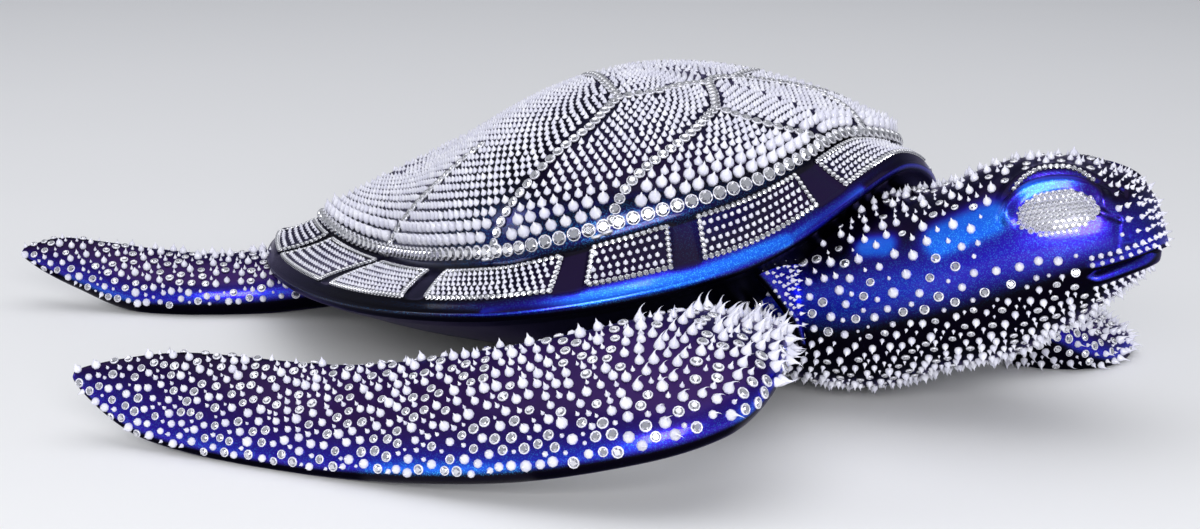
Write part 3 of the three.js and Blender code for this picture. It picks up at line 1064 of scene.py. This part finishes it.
def walk(path, pitch, ring=False):
    """Evenly spaced places on a polyline of (point, facing) pairs, about a pitch apart."""
    loop = path + path[:1] if ring else path
    lengths = [(loop[i + 1][0] - loop[i][0]).length for i in range(len(loop) - 1)]
    total = sum(lengths)
    count = max(1, round(total / pitch))
    places = []
    i = 0
    passed = 0.0
    for k in range(count if ring else count + 1):
        target = min(total - 1e-6, k * total / count)
        while passed + lengths[i] < target:
            passed += lengths[i]
            i += 1
        f = (target - passed) / lengths[i]
        point = loop[i][0].lerp(loop[i + 1][0], f)
        facing = loop[i][1].lerp(loop[i + 1][1], f).normalized()
        places.append((point, facing, (loop[i + 1][0] - loop[i][0]).normalized()))
    return places


def dome_edge_path():
    path = []
    for j in range(EDGE_STEPS):
        angle = j / EDGE_STEPS * 2 * pi
        path.append((on_dome(angle, EDGE_ROW), facing_of(on_dome, angle, EDGE_ROW)))
    return path


def scute_paths():
    """Each row between scutes as points with the dome's facing there."""
    paths = []
    mirrored = [[(x, -y) for x, y in row] for row in SIDE_ROWS]
    for row in [*MIDDLE_ROWS, *SIDE_ROWS, *mirrored]:
        steps = 8 * (len(row) - 1)
        points = []
        for i in range(steps + 1):
            x = along([p[0] for p in row], i / steps)
            y = along([p[1] for p in row], i / steps)
            here = on_dome(*dome_place(x, y))
            ahead = on_dome(*dome_place(x + 3, y))
            aside = on_dome(*dome_place(x, y + 3))
            points.append((here, (ahead - here).cross(aside - here).normalized()))
        paths.append(points)
    return paths


def panel_borders():
    """Each panel's border as a closed path of (point, facing)."""
    borders = []
    for number, (start, end) in enumerate(PANEL_ENDS):
        for side in (1,) if number == 0 else (-1, 1):
            corners = ((start, PANEL_FOOT), (end, PANEL_FOOT), (end, PANEL_HEAD), (start, PANEL_HEAD))
            path = []
            for k, (a, v) in enumerate(corners):
                b, w = corners[(k + 1) % 4]
                for i in range(EDGE_OF_PANEL):
                    height = lerp(v, w, i / EDGE_OF_PANEL)
                    degrees = lerp(a, b, i / EDGE_OF_PANEL)
                    degrees += lean(degrees, height)
                    angle = side * math.radians(degrees)
                    path.append((on_band(angle, height), facing_of(on_band, angle, height)))
            borders.append(path)
    return borders


def stones_on(places, radius, rise=0.0):
    return [Stud(p + n * rise, n, run, radius) for p, n, run in places]


# ---- Cones ----
ROUND_ROWS = 1100
UP_DOME = 90
# How many cones a row may have all round.
ROW_COUNTS = [round(300 * 0.86**k) for k in range(24)]
# The spacing and radius of the cones at the dome's foot, a little above it and near its top.
CONE_PITCH = (11.0, 7.3, 6.2)
CONE_RADIUS = (4.6, 2.7, 2.2)
LARGE_CONE = 3.9
# The share of the spacing that a cone keeps clear round itself.
CONE_REACH = 0.36
FIRST_ROW = 10.4
# How much wider the cones of a row are spaced on the slope behind.
WIDER_BEHIND = 0.4
PANEL_PITCH = 5.8
PANEL_CONE = 1.95


def rearward(angle):
    """0 over the front and sides of the dome and 1 over its shallow slope behind."""
    return smooth((abs(math.degrees(turned(angle))) - 100) / 50)


def dome_columns():
    """Lines up the dome: their points, the lengths so far and how much wider cones are spaced."""
    columns = []
    places = [lerp(EDGE_ROW, 0.995, (i / UP_DOME) ** 1.1) for i in range(UP_DOME + 1)]
    for j in range(ROUND_ROWS):
        angle = j / ROUND_ROWS * 2 * pi
        column = [on_dome(angle, s) for s in places]
        lengths = [0.0]
        for i in range(UP_DOME):
            lengths.append(lengths[-1] + (column[i + 1] - column[i]).length)
        columns.append((column, lengths, 1 + WIDER_BEHIND * rearward(angle)))
    return columns


def shares_round(columns):
    """Each column's share of the way round the foot, with the slope behind counted for less."""
    shares = [0.0]
    for j, (column, _, wider) in enumerate(columns):
        ahead = columns[(j + 1) % ROUND_ROWS][0]
        shares.append(shares[-1] + (ahead[0] - column[0]).length / wider)
    return [share / shares[-1] for share in shares]


def row_on_dome(columns, out):
    """The point that far up each column and the way up from it; none where a column is shorter."""
    row = []
    for column, lengths, _ in columns:
        if lengths[-1] < out:
            row.append(None)
            continue
        i = next(k for k in range(UP_DOME) if lengths[k + 1] >= out)
        f = (out - lengths[i]) / (lengths[i + 1] - lengths[i])
        row.append((column[i].lerp(column[i + 1], f), column[i + 1] - column[i]))
    return row


def row_length(columns, shares, row):
    """A row's length, with the slope behind counted for less, as if it ran all the way round."""
    length = share = 0.0
    for j in range(ROUND_ROWS):
        here, ahead = row[j], row[(j + 1) % ROUND_ROWS]
        if here and ahead:
            length += (ahead[0] - here[0]).length / columns[j][2]
            share += shares[j + 1] - shares[j]
    return length / share if share else 0.0


def dome_cones(taken):
    """Cones in rows that follow the dome's edge, large at its foot and finer towards the top.

    Cones of neighbouring rows are set half a step apart.
    """
    large = []
    fine = []
    columns = dome_columns()
    shares = shares_round(columns)
    longest = max(lengths[-1] for _, lengths, _ in columns)
    top = columns[0][0][-1]
    out = FIRST_ROW
    shift = 0
    while out < longest:
        near = smooth((out - 10) / 42)
        far = smooth((out - 60) / 120)
        pitch = lerp(lerp(CONE_PITCH[0], CONE_PITCH[1], near), CONE_PITCH[2], far)
        radius = lerp(lerp(CONE_RADIUS[0], CONE_RADIUS[1], near), CONE_RADIUS[2], far)
        row = row_on_dome(columns, out)
        length = row_length(columns, shares, row)
        if not length:
            break
        count = min(ROW_COUNTS, key=lambda n: abs(length / n - pitch))
        spread = length / count / pitch
        half = pitch * CONE_REACH * min(1, spread)
        size = radius * clamp01(0.3 + 0.7 * spread)
        last = shift - 1
        for share, place in zip(shares, row):
            cell = int(share * count + shift / 2)
            if place is None or cell == last:
                continue
            last = cell
            p, up_slope = place
            if not taken.free(p, half):
                continue
            taken.add(p, half)
            up_slope = up_slope.normalized()
            side = (p - top).cross(UP).normalized()
            facing = up_slope.cross(side).normalized()
            if facing.z < 0:
                facing.negate()
            tip = (facing + UP * lerp(0.5, 0.2, near)).normalized()
            (large if radius > LARGE_CONE else fine).append(Stud(p, tip, leaning(tip, up_slope), size))
        out += pitch * lerp(lerp(0.92, 1.0, near), 1.2, far)
        shift = 1 - shift
    return large, fine


def panel_cones():
    """Small rounded cones in a close grid inside each panel's border."""
    studs = []
    for number, (start, end) in enumerate(PANEL_ENDS):
        for side in (1,) if number == 0 else (-1, 1):
            middle = math.radians((start + end) / 2)
            tall = (on_band(middle, PANEL_HEAD) - on_band(middle, PANEL_FOOT)).length
            rows = min(6, round((tall - 6) / 6.2))
            pitch = PANEL_PITCH * (1 + 0.7 * rearward(middle))
            for r in range(rows):
                v = lerp(PANEL_FOOT, PANEL_HEAD, (r + 0.85) / (rows + 0.7))
                path = []
                for i in range(ROW_OF_PANEL + 1):
                    degrees = lerp(start, end, i / ROW_OF_PANEL)
                    angle = side * math.radians(degrees + lean(degrees, v))
                    path.append((on_band(angle, v), facing_of(on_band, angle, v)))
                places = walk(path, pitch)
                shift = 0.5 if r % 2 else 0.0
                for p, n, run in places[1:-1]:
                    studs.append(Stud(p + run * shift * pitch, n, leaning(n, UP), PANEL_CONE))
    return studs


STUD_GAP = 11.0
STUD_RADIUS = 4.7
SMALL_RADII = (1.9, 2.3, 2.9)
# The share of the larger studs that are bezelled stones.
STONE_SHARE = 0.38


class Skin:
    """A fine surface of rings that studs are scattered over."""

    def __init__(self, rings):
        self.rings = rings
        self.cells = []
        self.weights = []
        count = len(rings[0])
        for i in range(len(rings) - 1):
            for j in range(count):
                k = (j + 1) % count
                a, b, c = rings[i][j], rings[i][k], rings[i + 1][j]
                area = (b - a).cross(c - a).length
                if area > 0:
                    self.cells.append((i, j, k))
                    self.weights.append(area)
        self.area = sum(self.weights)
        self.count = count

    def facing(self, i, j, k):
        a, b = self.rings[i][j], self.rings[i][k]
        c, d = self.rings[i + 1][j], self.rings[i + 1][k]
        normal = (d - a).cross(c - b)
        return normal.normalized()

    def sample(self, chance, tries):
        """Random places as (point, facing, share along, share round)."""
        for i, j, k in chance.choices(self.cells, self.weights, k=tries):
            f, g = chance.random(), chance.random()
            low = self.rings[i][j].lerp(self.rings[i][k], g)
            high = self.rings[i + 1][j].lerp(self.rings[i + 1][k], g)
            along_share = (i + f) / (len(self.rings) - 1)
            yield low.lerp(high, f), self.facing(i, j, k), along_share, (j + g) / self.count


def level_of(p):
    """A pitched point back in the level frame of the shell and head."""
    c = cos(PITCH)
    s = sin(PITCH)
    return Vector((p.x * c + p.z * s, p.y, -p.x * s + p.z * c))


def rim_trace(count):
    """The rim's lip as points of the level frame."""
    angles = [j / count * 2 * pi for j in range(count)]
    return [(*plan(angle), round_rim(RIM_LEVEL, angle)) for angle in angles]


def in_shell(p):
    """Whether a point of the neck or a flipper is under or inside the shell."""
    q = level_of(p)
    # The plan is traced by a bent angle, so its reach is compared on the nearest traced one.
    traced = min(RIM_TRACE, key=lambda r: (r[0] - q.x) ** 2 + (r[1] - q.y) ** 2)
    inside = hypot(q.x, q.y) < hypot(traced[0], traced[1]) - 2
    return inside and -2 < q.z - traced[2]


def head_cover(p, facing, t, turn):
    """How far apart, how large and of what kind the studs are; none on the lids and lips."""
    if in_shell(p):
        return None
    q = level_of(p)
    u, w, near = in_eye(q)
    if near > -45:
        if hypot(u / (48 if u < 0 else 42), (w - 5) / 38) < 1:
            return None
        if -32 < w < 6 and -58 < u < 44:
            return None
    if q.x > 352:
        a = mouth_angle(q)
        across = q.z - mouth_level(a)
        if abs(a) < 1.5 and -14 < across < 11:
            return None
    plates = q.x > 372 and 4 < q.z < 52 and abs(q.y) > 18
    snout = q.x > 384
    crown = facing.z > 0.62
    throat = facing.z < -0.25
    cheek = q.x > 235 and -20 < q.z < 40
    if plates:
        return 1.05, 0.85, "small"
    if snout:
        return 0.6, 0.75, "small"
    if crown:
        return 0.96, 0.68, "drop"
    if throat:
        return 0.76, 0.66, "drop"
    if cheek:
        return 1.25, 0.82, "drop"
    return 1.0, 0.8, "drop"


def front_cover(p, facing, t, turn):
    """Studs cover a flipper but for its glossy leading edge and where it meets the body."""
    on_right = p.y < 0
    across = (1 - cos(turn * 2 * pi)) / 2
    bare = 0.025 if on_right else 0.001
    lowest = -0.35 if on_right else -0.85
    if across < bare or p.z < FLOOR + 4 or in_shell(p):
        return None
    if facing.z < lowest and across < 0.8:
        return None
    share = lerp(1.0, 0.68, smooth(t * 1.15 - 0.1)) * (1 if on_right else 0.8)
    return share, share, "hooked" if t < 0.5 else "drop"


def hind_cover(p, facing, t, turn):
    """As on the front flippers, but smaller and with no hooked cones."""
    if front_cover(p, facing, t, turn) is None:
        return None
    share = lerp(0.8, 0.68, t)
    return share, share, "drop"


def fold_cover(p, facing, t, turn):
    """Small cones in the middle of the web's front."""
    across = (1 - cos(turn * 2 * pi)) / 2
    if facing.x < 0.3 or not 0.1 < across < 0.9 or t > 0.8:
        return None
    return 0.5, 0.72, "small"


def scatter(skin, cover, seed, taken, pull):
    """Large cones and bezelled stones mixed evenly, then small cones in the gaps."""
    on_flipper = cover is front_cover
    chance = random.Random(seed)
    kinds = {"hooked": [], "drop": [], "stones": [], "small": []}
    passes = (("large", STUD_GAP, 26), ("small", STUD_GAP * 0.62, 40))
    for size, gap, effort in passes:
        tries = int(skin.area / STUD_GAP**2 * effort)
        for p, facing, t, turn in skin.sample(chance, tries):
            found = cover(p, facing, t, turn)
            if found is None:
                continue
            share, bulk, kind = found
            half = gap * share / 2
            if not taken.free(p, half):
                continue
            taken.add(p, half)
            if kind == "drop" and not on_flipper:
                facing = (facing + UP * (0.5 if facing.z > -0.25 else -0.35)).normalized()
            toward = leaning(facing, pull(p, chance))
            if size == "small" or kind == "small":
                radius = bulk * chance.choice(SMALL_RADII)
                kinds["small"].append(Stud(p, facing, toward, radius))
            elif chance.random() < STONE_SHARE:
                radius = bulk * STUD_RADIUS * chance.uniform(0.85, 1.05)
                kinds["stones"].append(Stud(p, facing, toward, radius))
            else:
                radius = bulk * STUD_RADIUS * chance.uniform(0.75, 1.0)
                kinds[kind].append(Stud(p, facing, toward, radius))
    return kinds


def outward_faces(rings):
    """The rings, reversed round if their faces would look inwards."""
    skin = Skin(rings)
    i = len(rings) // 2
    centre = sum(rings[i], Vector()) / len(rings[i])
    facing = skin.facing(i, 0, 1)
    if facing.dot(rings[i][0] - centre) < 0:
        return [list(reversed(ring)) for ring in rings]
    return rings


# ---- Casting ----
FLIPPER_RINGS = 130
ROUND_FLIPPER = 80
FOLD_RINGS = 40
ROUND_FOLD = 48


def flipper_skin(flipper, rings, count):
    return outward_faces([flipper_ring(flipper, i / rings, count) for i in range(rings + 1)])


def build_casting():
    """The painted pieces; gives back the skins of the shoulder fold and the flippers."""
    show(loft("shell", shell_rings(), LACQUER, shell_painted_shade), ["turtle_casting"])
    show(loft("head_and_neck", HEAD_SKIN.rings, LACQUER, no_painted_shade))
    flippers = {}
    for name, flipper in FLIPPERS.items():
        flippers[name] = flipper_skin(flipper, FLIPPER_RINGS, ROUND_FLIPPER)
        show(loft(name, flippers[name], FLIPPER_LACQUER, flipper_painted_shade))
    fold = flipper_skin(SHOULDER_FOLD, FOLD_RINGS, ROUND_FOLD)
    show(loft("right_shoulder_fold", fold, LACQUER, no_painted_shade))
    return fold, flippers


# ---- Dome and panels ----
# A stone's share of the radius of its setting, and how much of that radius others may overlap.
IN_SETTING = 0.88
EDGE_OVERLAP = 0.8


def nodes_named(start):
    return [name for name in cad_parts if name.startswith(start)]


def build_dome(taken):
    edge = walk(dome_edge_path(), 2.13 * EDGE_STONE, ring=True)
    rows = [place for path in scute_paths() for place in walk(path, 2.05 * SCUTE_STONE)]
    stones = stones_on(edge, EDGE_STONE * IN_SETTING, 0.8)
    stones += stones_on(rows, SCUTE_STONE * IN_SETTING, 1.0)
    settings = stones_on(edge, EDGE_STONE) + stones_on(rows, SCUTE_STONE, 0.3)
    for point, _, _ in edge:
        taken.add(point, EDGE_STONE - EDGE_OVERLAP)
    for point, _, _ in rows:
        taken.add(point, SCUTE_STONE)
    set_studs("dome_stones", stones, "stone", CRYSTAL, 0.02, ["dome_crystal_rows"])
    set_studs("dome_settings", settings, "rim", SILVER, 0.02)
    large, fine = dome_cones(taken)
    set_studs("dome_large_cones", large, "drop", ENAMEL, 0.06)
    for side, word in SIDES:
        half = [s for s in fine if s.point.y * side > 0]
        set_studs(f"dome_fine_cones_{word}", half, "nub", ENAMEL, 0.1)


def build_panels():
    border = []
    for path in panel_borders():
        border += stones_on(walk(path, 2.02 * BORDER_STONE, ring=True), BORDER_STONE)
    replaced = nodes_named("panel_crystals")
    set_studs("panel_border_stones", border, "chip", FOILED, 0.03, replaced)
    set_studs("panel_cones", panel_cones(), "nub", ENAMEL, 0.1)


# ---- Eyes ----
EYE_STONE = 2.1
EYE_ROWS = 7
EYE_COLUMNS = 11


def eye_skin(side, u, w):
    """The bulging almond of an eye; q is 1 on its outline."""
    q = abs(u / (EYE_LENGTH / 2)) ** 1.7 + abs(w / (EYE_HEIGHT / 2)) ** 1.25
    bulge = hypot(u / (EYE_LENGTH / 2), w / (EYE_HEIGHT / 2))
    return eye_point(side, u, w, 7.8 - 4.8 * min(bulge, 1.3) ** 2.4), q


def eye_studs(side):
    """A close field of stones, each row half a stone along from the next."""
    studs = []
    for i in range(-EYE_ROWS, EYE_ROWS + 1):
        for j in range(-EYE_COLUMNS, EYE_COLUMNS + 1):
            u = (j + 0.5 * (i % 2)) * EYE_STONE * 2.04
            w = i * EYE_STONE * 1.78
            p, q = eye_skin(side, u, w)
            if q >= 1.02:
                continue
            ahead = eye_skin(side, u + 1, w)[0] - p
            above = eye_skin(side, u, w + 1)[0] - p
            facing = ahead.cross(above).normalized()
            if facing.dot(eye_axes(side)[2]) < 0:
                facing.negate()
            facing = pitched(facing)
            studs.append(Stud(pitched(p), facing, leaning(facing, UP), EYE_STONE))
    return studs


PAD_SIZES = (1.06, 1.03, 0.96, 0.85, 0.7, 0.5, 0.3, 0.1)
PAD_DEPTH = 8
ROUND_PAD = 64


def eye_pad(side):
    """The silvered almond that the eye's stones are set on, with a skirt sunk into the head."""
    rings = []
    for size in PAD_SIZES:
        ring = []
        for j in range(ROUND_PAD):
            a = j / ROUND_PAD * 2 * pi
            u = EYE_LENGTH / 2 * cos(a) * size
            w = EYE_HEIGHT / 2 * signed_power(1 - abs(cos(a)) ** 1.7, 0.8)
            w *= math.copysign(size, sin(a))
            if size == PAD_SIZES[0]:
                ring.append(pitched(eye_point(side, u, w, -PAD_DEPTH)))
            else:
                ring.append(pitched(eye_skin(side, u, w)[0]))
        rings.append(ring)
    return rings


def lifted(studs, rise, share):
    """Stones for the settings of some studs: raised a little and a share of their radius."""
    return [Stud(s.point + s.facing * rise, s.facing, s.toward, s.radius * share) for s in studs]


def build_eyes():
    eyes = eye_studs(-1) + eye_studs(1)
    set_studs("eye_settings", eyes, "rim", ENAMEL, 0.0)
    stones = lifted(eyes, 0.3, 0.84)
    set_studs("eye_stones", stones, "chip", FOILED, 0.0, nodes_named("eye_crystals"))
    for side, word in SIDES:
        show(loft(f"eye_pad_{word}", eye_pad(side), DULL_SILVER))


# ---- Rows on the head: over the eyes and along the lips ----
ROW_STEPS = 40
BROW_PITCH = 4.3
BROW_STONE = 2.2
LIP_PITCH = 7
LIP_CONE = 2.1


def row_on_head(side, misses, pitch):
    """A row on the face through the places where each miss is least, evened out."""
    face = []
    for i in range(HEAD_RINGS // 2, HEAD_RINGS):
        for j in range(ROUND_HEAD):
            q = HEAD_LEVEL[i][j]
            if q.x > 310 and q.y * side > -4:
                face.append((q, i, j))
    path = []
    for miss in misses:
        _, i, j = min(face, key=lambda found: miss(found[0]))
        path.append((HEAD_SKIN.rings[i][j], HEAD_SKIN.facing(i, j, (j + 1) % ROUND_HEAD)))
    even = []
    for k in range(len(path)):
        near = path[max(0, k - 3) : k + 4]
        middle = sum((p for p, _ in near), Vector()) / len(near)
        even.append((middle, sum((n for _, n in near), Vector()).normalized()))
    return walk(even, pitch)


def brow_row(side):
    def miss_from(a):
        def miss(q):
            u, w, _ = in_eye(q)
            return hypot(u - 0.5 - 36 * cos(a), w - 40 * sin(a))

        return miss

    angles = [math.radians(lerp(146, 33, i / ROW_STEPS)) for i in range(ROW_STEPS + 1)]
    return row_on_head(side, [miss_from(a) for a in angles], BROW_PITCH)


def lip_row(side, offset):
    def miss_from(a):
        def miss(q):
            return abs(mouth_angle(q) - a) * 40 + abs(q.z - mouth_level(a) - offset)

        return miss

    angles = [side * lerp(0.05, 1.34, i / ROW_STEPS) for i in range(ROW_STEPS + 1)]
    return row_on_head(side, [miss_from(a) for a in angles], LIP_PITCH)


# How far above or below the line of the mouth each row of small cones runs.
LIP_ROWS = (7.5, 13, -11, -17)


def build_brows(taken):
    places = brow_row(-1) + brow_row(1)
    for point, _, _ in places:
        taken.add(point, 3)
    stones = stones_on(places, BROW_STONE, 0.5)
    set_studs("brow_stones", stones, "chip", FOILED, 0.03, nodes_named("brow_crystals"))


def lip_cones(taken):
    cones = []
    for side, _ in SIDES:
        for offset in LIP_ROWS:
            cones += [Stud(p, n, leaning(n, UP), LIP_CONE) for p, n, _ in lip_row(side, offset)]
    for cone in cones:
        taken.add(cone.point, 4)
    return cones


# ---- Skin: cones and bezelled stones over the head, neck and flippers ----
def wander(chance):
    return Vector((chance.uniform(-1, 1), chance.uniform(-1, 1), chance.uniform(-1, 1)))


def drifting(p, chance):
    """Cones lean up and a little forward."""
    return UP * 0.9 + Vector((0.25, 0, 0)) + wander(chance) * 0.7


def over_elbow(p, chance):
    """Cones lean up, and forward where the flipper bends round in front."""
    aside = wander(chance)
    forward = smooth((p.x - 120) / 110)
    return UP * lerp(1.0, 0.1, forward) + Vector((forward * 1.4, 0, -0.2 * forward)) + aside * 0.6


# Each kind of cone: its shape, its word in a piece's name and how uneven its sizes are.
STUD_KINDS = (
    ("hooked", "hooked_cone", "hooked_cones", 0.12),
    ("drop", "drop", "cones", 0.12),
    ("small", "spike", "small_cones", 0.15),
)


def build_skin(fold, flippers, lips, taken):
    fields = {
        "right_shoulder_fold": scatter(Skin(fold), fold_cover, 7, taken, drifting),
        "head_and_neck": scatter(HEAD_SKIN, head_cover, 11, taken, drifting),
    }
    for number, (name, rings) in enumerate(flippers.items()):
        cover, pull = (front_cover, over_elbow) if "front" in name else (hind_cover, drifting)
        fields[name] = scatter(Skin(rings), cover, 21 + number, taken, pull)
    fields["head_and_neck"]["small"] += lips
    for name, kinds in fields.items():
        for kind, shape, word, uneven in STUD_KINDS:
            if kinds[kind]:
                set_studs(f"{name}_{word}", kinds[kind], shape, ENAMEL, uneven)
        if kinds["stones"]:
            stones = lifted(kinds["stones"], 0.5, 0.8)
            set_studs(f"{name}_settings", kinds["stones"], "bezel", SILVER, 0.0)
            set_studs(f"{name}_stones", stones, "stone", CRYSTAL, 0.0)


# ---- Build ----
LACQUER = lacquer("flake_lacquer", PAINTED_TOP_SHADE, 0.2, 0.65)
FLIPPER_LACQUER = lacquer("flipper_flake_lacquer", PAINTED_PURPLE_TOP_SHADE, 0.2, 0.8)
ENAMEL = enamel()
CRYSTAL = crystal("crystal", 0.1)
FOILED = crystal("foiled_crystal", 0.65)
SILVER = silver("silver_setting", (0.72, 0.72, 0.8), (0.93, 0.93, 1.0))
DULL_SILVER = silver("dull_silver", (0.12, 0.12, 0.15), (0.3, 0.3, 0.36))
SHAPES = stud_shapes()
STUD_TREE = stud_tree()
RIM_TRACE = rim_trace(240)
HEAD_SKIN = Skin(outward_faces(head_rings()))
HEAD_LEVEL = [[level_of(p) for p in ring] for ring in HEAD_SKIN.rings]

fold, flippers = build_casting()
taken = Taken()
build_dome(taken)
build_panels()
build_eyes()
build_brows(taken)
lips = lip_cones(taken)
build_skin(fold, flippers, lips, taken)
for shape in SHAPES.values():
    bpy.data.objects.remove(shape)


# ---- Stage, lights and camera ----
def stage():
    mesh = bpy.data.meshes.new("floor")
    reach = 14
    corners = [(-reach, -reach, 0), (reach, -reach, 0), (reach, reach, 0), (-reach, reach, 0)]
    mesh.from_pydata(corners, [], [(0, 1, 2, 3)])
    mesh.materials.append(plain_floor())
    floor = bpy.data.objects.new("floor", mesh)
    bpy.context.scene.collection.objects.link(floor)
    world = bpy.data.worlds.new("studio")
    world.use_nodes = True
    world.node_tree.nodes["Background"].inputs["Color"].default_value = (0.9, 0.93, 1.0, 1)
    world.node_tree.nodes["Background"].inputs["Strength"].default_value = 0.42
    bpy.context.scene.world = world


def softbox(name, place, aim, size, power):
    data = bpy.data.lights.new(name, "AREA")
    data.shape = "RECTANGLE"
    data.size, data.size_y = size
    data.energy = power
    lamp = bpy.data.objects.new(name, data)
    lamp.location = place
    lamp.rotation_euler = (Vector(aim) - Vector(place)).to_track_quat("-Z", "Y").to_euler()
    bpy.context.scene.collection.objects.link(lamp)


def camera():
    azimuth = math.radians(32.69)
    elevation = math.radians(12.335)
    roll = math.radians(1.194)
    target = Vector((0.03033, -0.03044, 0.07907))
    distance = 1.86104
    back = Vector(
        (sin(azimuth) * cos(elevation), -cos(azimuth) * cos(elevation), sin(elevation))
    )
    right = Vector((cos(azimuth), sin(azimuth), 0))
    up = back.cross(right)
    right, up = right * cos(roll) + up * sin(roll), up * cos(roll) - right * sin(roll)
    data = bpy.data.cameras.new("camera")
    data.lens = 67.46
    data.sensor_width = 36
    made = bpy.data.objects.new("camera", data)
    made.matrix_world = Matrix(
        (
            (right.x, up.x, back.x, target.x + back.x * distance),
            (right.y, up.y, back.y, target.y + back.y * distance),
            (right.z, up.z, back.z, target.z + back.z * distance),
            (0, 0, 0, 1),
        )
    )
    bpy.context.scene.collection.objects.link(made)
    bpy.context.scene.camera = made


stage()
softbox("key", (1.7, -2.3, 1.0), (0, 0, 0.1), (1.5, 1.1), 62)
softbox("fill", (-2.4, -1.8, 1.2), (0, 0, 0.1), (1.4, 1.2), 16)
softbox("ceiling", (0.0, 0.5, 4.0), (0, 0, 0), (5.0, 5.0), 74)
camera()
view = bpy.context.scene.view_settings
view.view_transform = "Standard"
